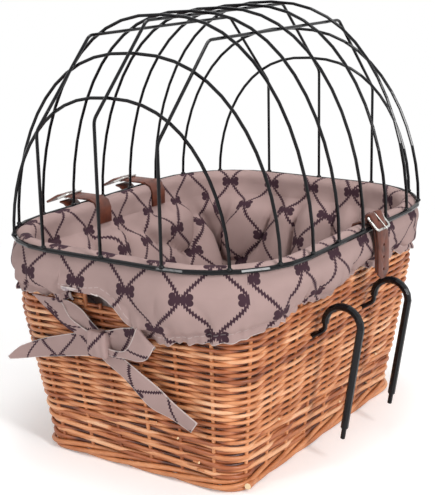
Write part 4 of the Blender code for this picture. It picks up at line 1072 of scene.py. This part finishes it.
def smooth_path(points, samples):
    """A smooth curve through the points."""
    points = np.array(points, float)
    padded = np.vstack([2 * points[0] - points[1], points, 2 * points[-1] - points[-2]])
    place = np.linspace(0, len(points) - 1, samples)
    index = np.minimum(place.astype(int), len(points) - 2)
    f = (place - index)[:, None]
    a, b, c, d = (padded[index + i] for i in range(4))
    return 0.5 * (2 * b + (c - a) * f + (2 * a - 5 * b + 4 * c - d) * f**2 + (3 * b - a - 3 * c + d) * f**3)


def edge_curves(edges, samples):
    """Smooth curves in metres from edges that are lists of (out, y, z) in mm, from the wall and the knot."""
    curves = []
    for edge in edges:
        path = smooth_path(edge, samples) * MM
        height = KNOT_HEIGHT + path[:, 2]
        wall_x = np.array([wall_ring(0.0, level)[0][0] for level in height])
        curves.append(np.stack([wall_x + BOW_OUT + path[:, 0], KNOT_Y + path[:, 1], height], -1))
    return curves


def ribbon(name, side, edges, bow=CROWN, print_from=(0.0, 0.003), samples=64):
    """Cloth spanned from edge to edge in turn, with its print and the distance from its rim."""
    curves = edge_curves(edges, samples)
    strips, widths = [], []
    for low, high in zip(curves, curves[1:]):
        share = np.linspace(0, 1, LANES)[:, None, None]
        span = low[None] * (1 - share) + high[None] * share
        along = np.arange(samples)[None] / samples
        belly = np.sin(share[..., 0] * math.pi)
        crown = belly * bow * MM
        ripple = RIPPLE * np.sin(along * RIPPLE_ALONG + share[..., 0] * RIPPLE_ACROSS) * belly
        span = span + np.array([1.0, 0, 0]) * (crown + ripple)[..., None]
        strips.append(span if not strips else span[1:])
        widths.append(np.linalg.norm(high - low, axis=1))
    surface = np.concatenate(strips)
    widened = np.cumsum(np.linalg.norm(np.diff(surface, axis=0), axis=2), axis=0)
    rows = np.concatenate([np.zeros((1, samples)), widened])
    middle = (curves[0] + curves[-1]) / 2
    along = np.concatenate([[0], np.cumsum(np.linalg.norm(np.diff(middle, axis=0), axis=1))])
    across = rows * PRINT_STRETCH + print_from[1]
    flat = np.stack([np.broadcast_to(along, rows.shape) + print_from[0], across], -1)
    rim = np.minimum(np.minimum(rows, rows[-1] - rows), EDGE_MOST)
    rim = np.minimum(rim, along[-1] - along[None])
    surface[..., 0] *= side
    if side < 0:
        surface, flat, rim = surface[::-1], flat[::-1], rim[::-1]
    piece = grid_sheet(name, surface, flat, rim, thickness=RIBBON, lining=print_face)
    piece["cut"] = (float(along[-1]), float(sum(width.mean() for width in widths)))
    return piece


# %% [markdown]
# ### The knot
#
# The knot is the ribbon's own turn round the rest: a small flattened band, creased where it is
# pulled tight. A cube is subdivided and drawn in to a soft pillow, and its sides are pinched.

# %% Tie the knots
KNOT_SIZE = (0.0125, 0.0235, 0.0275)
KNOT_CREASE, KNOT_CREASES_APART, KNOT_CREASE_LEAN, KNOT_WAIST = 0.0003, 0.0090, 60, 0.04
KNOT_FROM_CROSSING = (0.0046, -0.0025, -0.001)  # out, and along Y and Z, from where the ribbons cross
KNOT_CROWN, KNOT_CROWN_WIDE = 0.0022, 0.8
KNOT_FRONT = 0.3  # the front starts this share of the knot's depth out from its middle
PRINT_ON_KNOT = (0.0170, 0.0160)


def make_knot(side, name):
    """A pinched band round the crossing ribbons."""
    deselect()
    ahead, aside, above = KNOT_FROM_CROSSING
    middle_x = wall_ring(0.0, KNOT_HEIGHT)[0][0] + BOW_OUT + ahead
    middle = Vector((side * middle_x, KNOT_Y + aside, KNOT_HEIGHT + above))
    bpy.ops.mesh.primitive_cube_add(size=1, location=middle, scale=KNOT_SIZE)
    bpy.ops.object.transform_apply(location=True, rotation=True, scale=True)
    knot = bpy.context.object
    bpy.ops.object.mode_set(mode="EDIT")
    bpy.ops.mesh.subdivide(number_cuts=4)
    bpy.ops.object.mode_set(mode="OBJECT")
    soften = knot.modifiers.new("soften", "SUBSURF")
    soften.levels = soften.render_levels = 2
    bpy.ops.object.modifier_apply(modifier=soften.name)
    for vert in knot.data.vertices:
        local = vert.co - middle
        across, upward = local.y / KNOT_SIZE[1] * math.pi, local.z / KNOT_SIZE[2] * math.pi
        lean = local.z * KNOT_CREASE_LEAN
        crease = KNOT_CREASE * math.cos(local.y * 2 * math.pi / KNOT_CREASES_APART + lean)
        waist = 1 - KNOT_WAIST * math.cos(across)
        crown = KNOT_CROWN * math.cos(upward) * math.cos(across * KNOT_CROWN_WIDE)
        front = local.x * side > KNOT_SIZE[0] * KNOT_FRONT
        out = (crease + crown) * side if front else 0
        vert.co = middle + Vector((local.x + out, local.y, local.z * waist))
    for loop in knot.data.loops:
        spot = knot.data.vertices[loop.vertex_index].co - middle
        knot.data.uv_layers[0].data[loop.index].uv = (spot.y + PRINT_ON_KNOT[0], spot.z + PRINT_ON_KNOT[1])
    far_from_edge = [EDGE_MOST] * len(knot.data.vertices)
    knot.data.attributes.new("edge", "FLOAT", "POINT").data.foreach_set("value", far_from_edge)
    bpy.ops.object.shade_smooth()
    knot.name = knot.data.name = f"{name}_knot"
    knot.data.materials.append(print_face)
    return knot


# %% The edges of each ribbon, in millimetres: out from the wall, then along Y and Z from the knot
LONG_TAIL = (
    (
        (3, 2, 9), (4, -13, 9.5), (2.5, -39, 2.5), (3, -58, -3),
        (2.5, -82, -11), (3, -110, -23), (4, -121, -30), (5, -133, -40),
    ),
    (
        (3, 2, -15), (4, -15, -17.5), (3, -41, -23), (2, -66, -28.5),
        (3, -92, -34), (3, -109, -38.5), (4, -120, -41), (5, -130, -43),
    ),
)
LOOP = (
    (
        (2, 4, 12), (2, 20, 18), (5, 38, 23), (7, 50, 26), (11.5, 51.5, 26),
        (12.5, 46, 14), (12, 38.5, 3.8), (10, 29.5, -2), (7, 14, -4), (5, 4, -3),
    ),
    (
        (2, 4, -12), (2, 22, -8), (5.5, 46, -3), (7, 65, 4), (11, 70, 9.5),
        (13, 62, -3), (12, 50, -8), (10, 35, -8.5), (7, 14, -11), (5, 4, -11),
    ),
)
SHORT_TAIL = (
    ((3, -8, -12), (3, 1, -21), (2.5, 23, -36), (2, 48, -60), (2, 73, -68), (2.5, 97, -78)),
    ((3, 12, -6), (3, 23, -12), (3, 42, -24), (2.5, 63, -37), (2.5, 81, -51), (3, 106, -66)),
)
LEFT_TIE = (
    ((0, -46, 38), (-1.5, -36, 35.5), (-2, -24.5, 29), (-1, -15, 20), (1, -2, 11)),
    ((1.5, -87, 38), (3, -63, 20), (3, -43, 6.6), (3, -15, -4), (3, -2, -6)),
    ((1.5, -49, 37), (4, -38.7, 21.5), (4.5, -27, 14), (4.5, -14.7, 9), (3, -2, 5)),
)
RIGHT_TIE = (
    ((-2, 47, 26), (0, 34, 21), (1, 20, 17), (2, 4, 13)),
    ((-1.5, 50, 13), (0, 36, 9), (1, 20, 5), (2, 4, 2)),
)
ribbon_edges = LONG_TAIL + LOOP + SHORT_TAIL + LEFT_TIE + RIGHT_TIE
print(len(ribbon_edges), "edges with", sum(len(edge) for edge in ribbon_edges), "points")

# %% Lay the ribbons of both bows


def make_bow(side, name):
    """The ribbons and the knot of one bow, set on the basket."""
    knot = make_knot(side, name)
    ribbons = [
        ribbon(f"{name}_long_tail", side, LONG_TAIL, print_from=(0.024, 0.003)),
        ribbon(f"{name}_loop", side, LOOP[::-1], print_from=(0.050, 0.010), samples=96, bow=0.8),
        ribbon(f"{name}_short_tail", side, SHORT_TAIL[::-1], print_from=(0.040, 0.006)),
        ribbon(f"{name}_left_tie", side, LEFT_TIE, bow=0.6, print_from=(0.010, 0.0)),
        ribbon(f"{name}_right_tie", side, RIGHT_TIE, bow=2.0, print_from=(0.033, 0.012)),
    ]
    for part in [knot] + ribbons:
        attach(part, "basket")
        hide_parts(f"tie_bow_{'right' if side > 0 else 'left'}")
    for part in ribbons:
        del part["cut"]
    return [part.name for part in ribbons]


for side, name in ((1, "bow_right"), (-1, "bow_left")):
    print(name, make_bow(side, name))

# %% [markdown]
# ## The floor pad
#
# The pad is a thin foam cushion in the same cotton. Its cover is a closed shell that the foam
# fills out, so it is swollen with a short cloth simulation under a little pressure. How far a
# point may move is capped. The top is crowned in the middle and pressed in near the rim, where
# the cover is sewn, and the underside stays flat on the liner's floor.

# %% Fill the pad
PAD_HALF = (0.150, 0.100)
PAD_LOW, PAD_HIGH = 0.0145, 0.0300
PAD_CAP = 0.005
PAD_ROUND, PAD_VOXEL = 0.0065, 0.005
PAD_PRESSURE, PAD_FRAMES = 4, 20
PAD_CROWN, PAD_PRESS, PAD_SEAM, PAD_SEAM_WIDTH = 0.003, 0.0015, 0.93, 0.04
PAD_FLOOR, PAD_TOP = 0.0132, 0.0355
PAD_CROWN_RAMP = (0, 0.5)  # in from the rim, in shares of the way to the middle
deselect()
bpy.ops.mesh.primitive_cube_add(size=1, location=(0, 0, (PAD_LOW + PAD_HIGH) / 2))
pad = bpy.context.object
pad.scale = (PAD_HALF[0] * 2, PAD_HALF[1] * 2, PAD_HIGH - PAD_LOW)
bpy.ops.object.transform_apply(location=True, rotation=True, scale=True)
bpy.ops.object.mode_set(mode="EDIT")
bpy.ops.mesh.select_all(action="SELECT")
bpy.ops.mesh.bevel(offset=PAD_ROUND, segments=3, affect="EDGES")
bpy.ops.object.mode_set(mode="OBJECT")
remesh = pad.modifiers.new("even cover", "REMESH")
remesh.mode = "VOXEL"
remesh.voxel_size = PAD_VOXEL
bpy.ops.object.modifier_apply(modifier=remesh.name)
before = np.array([vert.co[:] for vert in pad.data.vertices])
cover = pad.modifiers.new("cover", "CLOTH")
cover.settings.use_pressure = True
cover.settings.uniform_pressure_force = PAD_PRESSURE
cover.settings.effector_weights.gravity = 0
for number in range(1, PAD_FRAMES + 1):
    bpy.context.scene.frame_set(number)
bpy.context.view_layer.objects.active = pad
bpy.ops.object.modifier_apply(modifier=cover.name)
bpy.context.scene.frame_set(1)

# %% Cap the swelling and shape the pad
after = np.array([vert.co[:] for vert in pad.data.vertices])
move = after - before
reach = np.linalg.norm(move, axis=1, keepdims=True)
after = before + move * np.minimum(1, PAD_CAP / np.maximum(reach, 1e-9))
sides = np.maximum(np.abs(after[:, 0]) / PAD_HALF[0], np.abs(after[:, 1]) / PAD_HALF[1])
crown = ease(1 - sides, *PAD_CROWN_RAMP)
top = after[:, 2] > (PAD_LOW + PAD_HIGH) / 2
pressed = PAD_PRESS * np.exp(-(((sides - PAD_SEAM) / PAD_SEAM_WIDTH) ** 2))
after[:, 2] += np.where(top, PAD_CROWN * crown - pressed, 0)
after[:, 2] = np.clip(after[:, 2], PAD_FLOOR, PAD_TOP)
pad.data.vertices.foreach_set("co", after.ravel())
finer = pad.modifiers.new("finer", "SUBSURF")
finer.levels = finer.render_levels = 1
bpy.ops.object.modifier_apply(modifier=finer.name)
bpy.ops.object.shade_smooth()
pad_uv = pad.data.uv_layers.new(name="UVMap")
for loop in pad.data.loops:
    spot = pad.data.vertices[loop.vertex_index].co
    pad_uv.data[loop.index].uv = (spot.x, spot.y)
pad.data.attributes.new("edge", "FLOAT", "POINT").data.foreach_set("value", [1.0] * len(pad.data.vertices))
pad.name = pad.data.name = "floor_pad_cushion"
pad.data.materials.append(print_face)
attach(pad, "basket")
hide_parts("floor_pad")
swelling = min(float(reach.max()), PAD_CAP) * 1000
print("Pad:", len(pad.data.polygons), "faces, swollen by", round(swelling, 1), "mm at most")

# %% [markdown]
# ## Leather straps
#
# The straps are vegetable-tanned belt leather, cut as flat strips and burnished at the edges. The
# CAD solids already lie where a strap lies, with its holes and slots, so each strap is a copy of
# its solid with its loose triangles merged and its cut edges rounded over.

# %% Strap leather
straps = ["closure_strap", "closure_base_strap", "closure_inner_strap"]
straps += [f"hinge_{kind}_{n}" for n in (1, 2) for kind in ("strap", "base_strap")]
LEATHER_GRAIN = 0.0013  # across a pebble of the grain
LEATHER_STOPS = ((0.25, "#3B160B"), (0.5, "#5B2917"), (0.8, "#763C26"))
EDGE_STOPS = ((0.3, "#26120C"), (0.7, "#452217"))
MOTTLES, RUBS = 95.0, 300.0  # changes of tone to the metre: one in about 10 mm, and one in about 3 mm
GRAIN_RELIEF = 0.4
leather, tree, shader = start_material(
    "vegetable-tanned leather", Roughness=0.5, Coat_Weight=0.06, Coat_Roughness=0.3
)
place = add_node(tree, "ShaderNodeTexCoord", out=3)
grain = add_node(tree, "ShaderNodeTexVoronoi", {"Vector": place, "Scale": 1 / LEATHER_GRAIN})
mottle = add_node(tree, "ShaderNodeTexNoise", {"Vector": place, "Scale": MOTTLES, "Detail": 4.0})
ramp = set_ramp(add_node(tree, "ShaderNodeValToRGB", mottle), LEATHER_STOPS)
tree.links.new(ramp, shader.inputs["Base Color"])
relief = add_node(tree, "ShaderNodeMath", grain, GRAIN_RELIEF, mottle, operation="MULTIPLY_ADD")
bump = add_node(tree, "ShaderNodeBump", {"Strength": 0.3, "Distance": 0.0006, "Height": relief})
tree.links.new(bump, shader.inputs["Normal"])
edge_leather, tree, shader = start_material(
    "burnished leather edge", Base_Color=linear("#2E1610"), Roughness=0.4
)
place = add_node(tree, "ShaderNodeTexCoord", out=3)
rub = add_node(tree, "ShaderNodeTexNoise", {"Vector": place, "Scale": RUBS, "Detail": 2.0})
ramp = set_ramp(add_node(tree, "ShaderNodeValToRGB", rub), EDGE_STOPS)
tree.links.new(ramp, shader.inputs["Base Color"])
print("Leather:", leather.name, "and", edge_leather.name)

# %% Round over the straps' edges
bodies = frame["record"]["behaviour"]["bodies"]
body_of = {node: body for body, members in bodies.items() for node in members}
EDGE_ROUND, EDGE_TURN = 0.00045, math.radians(50)
LOOSE = 1e-5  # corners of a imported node's triangles closer than this are one
NEARLY_FLAT, ROUND_EDGE = math.radians(0.5), math.radians(40)


def merged_copy(node, name):
    """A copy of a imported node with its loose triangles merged, riding where the node rides."""
    deselect()
    piece = bpy.data.objects.new(name, nodes[node].data.copy())
    bpy.context.scene.collection.objects.link(piece)
    piece.select_set(True)
    bpy.context.view_layer.objects.active = piece
    bpy.ops.object.mode_set(mode="EDIT")
    bpy.ops.mesh.select_all(action="SELECT")
    bpy.ops.mesh.remove_doubles(threshold=LOOSE)
    bpy.ops.mesh.dissolve_limited(angle_limit=NEARLY_FLAT)
    bpy.ops.object.mode_set(mode="OBJECT")
    piece.data.materials.clear()
    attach(piece, body_of[node])
    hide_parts(node)
    return piece


for name in straps:
    piece = merged_copy(name, f"{name}_leather")
    piece.data.materials.append(leather)
    piece.data.materials.append(edge_leather)
    rounding = piece.modifiers.new("edges", "BEVEL")
    rounding.width = EDGE_ROUND
    rounding.segments = 2
    rounding.limit_method = "ANGLE"
    rounding.angle_limit = EDGE_TURN
    rounding.material = 1
    bpy.ops.object.modifier_apply(modifier=rounding.name)
    bpy.ops.object.shade_smooth_by_angle(angle=ROUND_EDGE)
print("Straps:", straps)

# %% [markdown]
# ## Wire, steel and plastic
#
# The dome is mild steel wire dipped in black PVC, which leaves a glossy skin with a faint ripple.
# The buckles are bent from nickel-plated wire. The hooks wear a push-on sleeve of extruded PVC,
# duller than the dipped wire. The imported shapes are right, apart from the hooks' inner legs in the
# next step, so only the finish is made here.

# %% Finishes of the rigid pieces


def coating(name, base, rough, ripple, depth, gloss):
    """A black plastic skin with a ripple of the given size in metres."""
    finish, tree, shader = start_material(name, Roughness=rough, Specular_IOR_Level=gloss)
    place = add_node(tree, "ShaderNodeTexCoord", out=3)
    waves = add_node(tree, "ShaderNodeTexNoise", {"Vector": place, "Scale": 1 / ripple, "Detail": 2.0})
    ramp = set_ramp(add_node(tree, "ShaderNodeValToRGB", waves), base)
    tree.links.new(ramp, shader.inputs["Base Color"])
    bump = add_node(tree, "ShaderNodeBump", {"Strength": 0.35, "Distance": depth, "Height": waves})
    tree.links.new(bump, shader.inputs["Normal"])
    return finish


DIP_STOPS, SLEEVE_STOPS = ((0.3, "#060608"), (0.7, "#0D0D11")), ((0.3, "#08080B"), (0.7, "#121216"))
dipped = coating("dipped black PVC on wire", DIP_STOPS, rough=0.1, ripple=0.006, depth=0.0002, gloss=0.25)
sleeve = coating(
    "extruded black PVC sleeve", SLEEVE_STOPS, rough=0.16, ripple=0.02, depth=0.0003, gloss=0.27
)
HAZES, HAZE_ROUGH = 260.0, (0.16, 0.34)  # changes to the metre, one in about 4 mm, and how rough they go
nickel, tree, shader = start_material("nickel-plated steel", Base_Color=linear("#C8C6C2"), Metallic=1.0)
place = add_node(tree, "ShaderNodeTexCoord", out=3)
haze = add_node(tree, "ShaderNodeTexNoise", {"Vector": place, "Scale": HAZES, "Detail": 4.0})
worn = add_node(tree, "ShaderNodeMapRange", haze, *NOISE_RANGE, *HAZE_ROUGH)
tree.links.new(worn, shader.inputs["Roughness"])
bump = add_node(tree, "ShaderNodeBump", {"Strength": 0.1, "Distance": 0.0002, "Height": haze})
tree.links.new(bump, shader.inputs["Normal"])

for name, node in nodes.items():
    if name == "rim_wire" or name.startswith(("arch_", "bar_", "hook_rod")):
        paint = dipped
    elif "buckle" in name or "prong" in name:
        paint = nickel
    elif name.startswith("hook_sleeve"):
        paint = sleeve
    else:
        continue
    node.data.materials.clear()
    node.data.materials.append(paint)
print("Finishes:", dipped.name, sleeve.name, nickel.name, sep=", ")

# %% [markdown]
# ## The hooks' inner legs
#
# Each hook is hung by a leg that goes through the weave and lies against its inner side. The rods
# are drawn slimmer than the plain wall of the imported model, so the leg is drawn in with them, and
# isn't seen between the rods.

# %% Draw the legs in behind the weave
LEG_FROM, LEG_EASE, LEG_SHIFT = 0.1445, 0.006, 0.0030
for number in (1, 2):
    wire = merged_copy(f"hook_rod_{number}", f"hook_wire_{number}")
    for vert in wire.data.vertices:
        vert.co.y -= LEG_SHIFT * float(ease(LEG_FROM - vert.co.y, 0, LEG_EASE))
    wire.data.materials.append(dipped)
    bpy.ops.object.shade_smooth_by_angle(angle=ROUND_EDGE)
    print(wire.name, len(wire.data.polygons), "faces")

# %% [markdown]
# ## Weld beads
#
# Each arch and bar is spot-welded to the ring, and the dip coat rounds the weld to a bead. One
# bead is modelled and copied to every foot, each copy with its own mesh.

# %% Beads at the feet of the arches and bars
BEAD_HALVES = (0.0030, 0.0030, 0.0021)
RIM_WIRE_HALF, DOME_WIRE_HALF = 0.0025, 0.0017
BEAD_HEIGHT = RIM_HEIGHT + RIM_WIRE_HALF
deselect()
bpy.ops.mesh.primitive_uv_sphere_add(segments=12, ring_count=7, radius=1)
bead = bpy.context.object
bpy.ops.object.mode_set(mode="EDIT")
bpy.ops.transform.resize(value=BEAD_HALVES)
bpy.ops.object.mode_set(mode="OBJECT")
beads, feet = [], []
for number in range(1, 10):
    low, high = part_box(f"arch_{number}")
    x = (low.x + high.x) / 2
    feet += [Vector((x, y, BEAD_HEIGHT)) for y in (low.y + DOME_WIRE_HALF, high.y - DOME_WIRE_HALF)]
for kind in ("front", "middle", "rear"):
    low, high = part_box(f"bar_{kind}")
    y = (low.y + high.y) / 2
    feet += [Vector((x, y, BEAD_HEIGHT)) for x in (low.x + DOME_WIRE_HALF, high.x - DOME_WIRE_HALF)]
for foot_place in feet:
    copy = bead.copy()
    copy.data = bead.data.copy()
    copy.data.transform(Matrix.Translation(foot_place))
    bpy.context.scene.collection.objects.link(copy)
    beads.append(copy)
bpy.data.objects.remove(bead)
welds = joined("weld_beads", beads, dipped)
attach(welds, "cage")

# %% [markdown]
# ## The stage
#
# A white floor, a white backdrop that the camera and reflections see, and large soft lamps: the
# plain light of a product photograph. The lamps show each colour about as it is written.

# %% The floor
SKY_LIGHT = 0.42
FLOOR_LIFT = 0.16  # what the camera sees more of the floor, so that its lit parts are white
FLOOR_FADE = (0.40, 1.1)  # metres from the middle over which the floor fades into the backdrop
FLOOR_SIZE = 6
deselect()
bpy.ops.mesh.primitive_plane_add(size=FLOOR_SIZE)
floor = bpy.context.object
floor.name = "studio_floor"
floor_paint, tree, shader = start_material("matt white floor", Base_Color=linear("#FFFFFF"), Roughness=0.9)
shader.inputs["Specular IOR Level"].default_value = 0.0
shader.inputs["Emission Color"].default_value = (1, 1, 1, 1)
path = tree.nodes.new("ShaderNodeLightPath")
glow = add_node(tree, "ShaderNodeMath", path.outputs["Is Camera Ray"], FLOOR_LIFT, operation="MULTIPLY")
tree.links.new(glow, shader.inputs["Emission Strength"])
place = add_node(tree, "ShaderNodeTexCoord", out=3)
reach = add_node(tree, "ShaderNodeVectorMath", place, out=1, operation="LENGTH")
fade = add_node(tree, "ShaderNodeMapRange", reach, *FLOOR_FADE, 0.0, 1.0, interpolation_type="SMOOTHSTEP")
clear = tree.nodes.new("ShaderNodeBsdfTransparent")
blended = add_node(tree, "ShaderNodeMixShader", fade, shader.outputs[0], clear.outputs[0])
tree.links.new(blended, tree.nodes["Material Output"].inputs["Surface"])
floor.data.materials.append(floor_paint)
print("Floor:", floor.name)

# %% Sky light, and a white backdrop for the camera and for reflections
world = bpy.data.worlds.new("studio")
bpy.context.scene.world = world
world.use_nodes = True
tree = world.node_tree
sky = tree.nodes["Background"]
rays = tree.nodes.new("ShaderNodeLightPath")
seen = rays.outputs["Is Camera Ray"]
for ray in ("Is Glossy Ray", "Is Transmission Ray"):
    seen = add_node(tree, "ShaderNodeMath", seen, rays.outputs[ray], operation="MAXIMUM")
strength = add_node(tree, "ShaderNodeMapRange", seen, 0.0, 1.0, SKY_LIGHT, 1.0)
tree.links.new(strength, sky.inputs["Strength"])
sky.inputs["Color"].default_value = (1, 1, 1, 1)
print("Sky light:", SKY_LIGHT)

# %% Lamps


def soft_lamp(name, place, target, size, power):
    """A rectangular area lamp, of this width and height, that faces its target."""
    lamp = bpy.data.lights.new(name, "AREA")
    lamp.shape = "RECTANGLE"
    lamp.size, lamp.size_y = size
    lamp.energy = power
    holder = bpy.data.objects.new(name, lamp)
    holder.location = place
    holder.rotation_euler = (Vector(target) - Vector(place)).to_track_quat("-Z", "Y").to_euler()
    bpy.context.scene.collection.objects.link(holder)
    return holder


AIM = (0, 0, 0.2)
lamps = [
    soft_lamp("key_lamp", (0.8, 2.1, 1.4), AIM, size=(0.35, 1.5), power=43),
    soft_lamp("fill_lamp", (2.1, -0.6, 1.0), AIM, size=(0.25, 1.4), power=13),
    soft_lamp("top_lamp", (-0.1, 0.1, 2.3), AIM, size=(1.4, 0.9), power=22),
]
print("Lamps:", [lamp.name for lamp in lamps])

# %% The camera, fitted to the wires of the photo
PICTURE_HIGH = 495  # the photo's height in pixels
LENS_PIXELS = 1194.99  # the focal length in the same pixels
SENSOR = 36
eye = Vector((1.06479, 0.70455, 0.30264 + RIM_HEIGHT))
forward = Vector((-0.80237, -0.53813, -0.25811)).normalized()
rightward = Vector((-0.55243, 0.83332, -0.02009)).normalized()
upward = rightward.cross(forward).normalized()
camera = bpy.data.objects.new("camera", bpy.data.cameras.new("camera"))
camera.data.sensor_width = SENSOR
camera.data.lens = LENS_PIXELS / PICTURE_HIGH * SENSOR
camera.data.clip_start = 0.05
turn = Matrix((rightward, upward, -forward)).transposed()
camera.matrix_world = Matrix.Translation(eye) @ turn.to_4x4()
bpy.context.scene.collection.objects.link(camera)
bpy.context.scene.camera = camera
bpy.context.scene.view_settings.view_transform = "Standard"
print("Camera at", [round(value, 3) for value in eye])
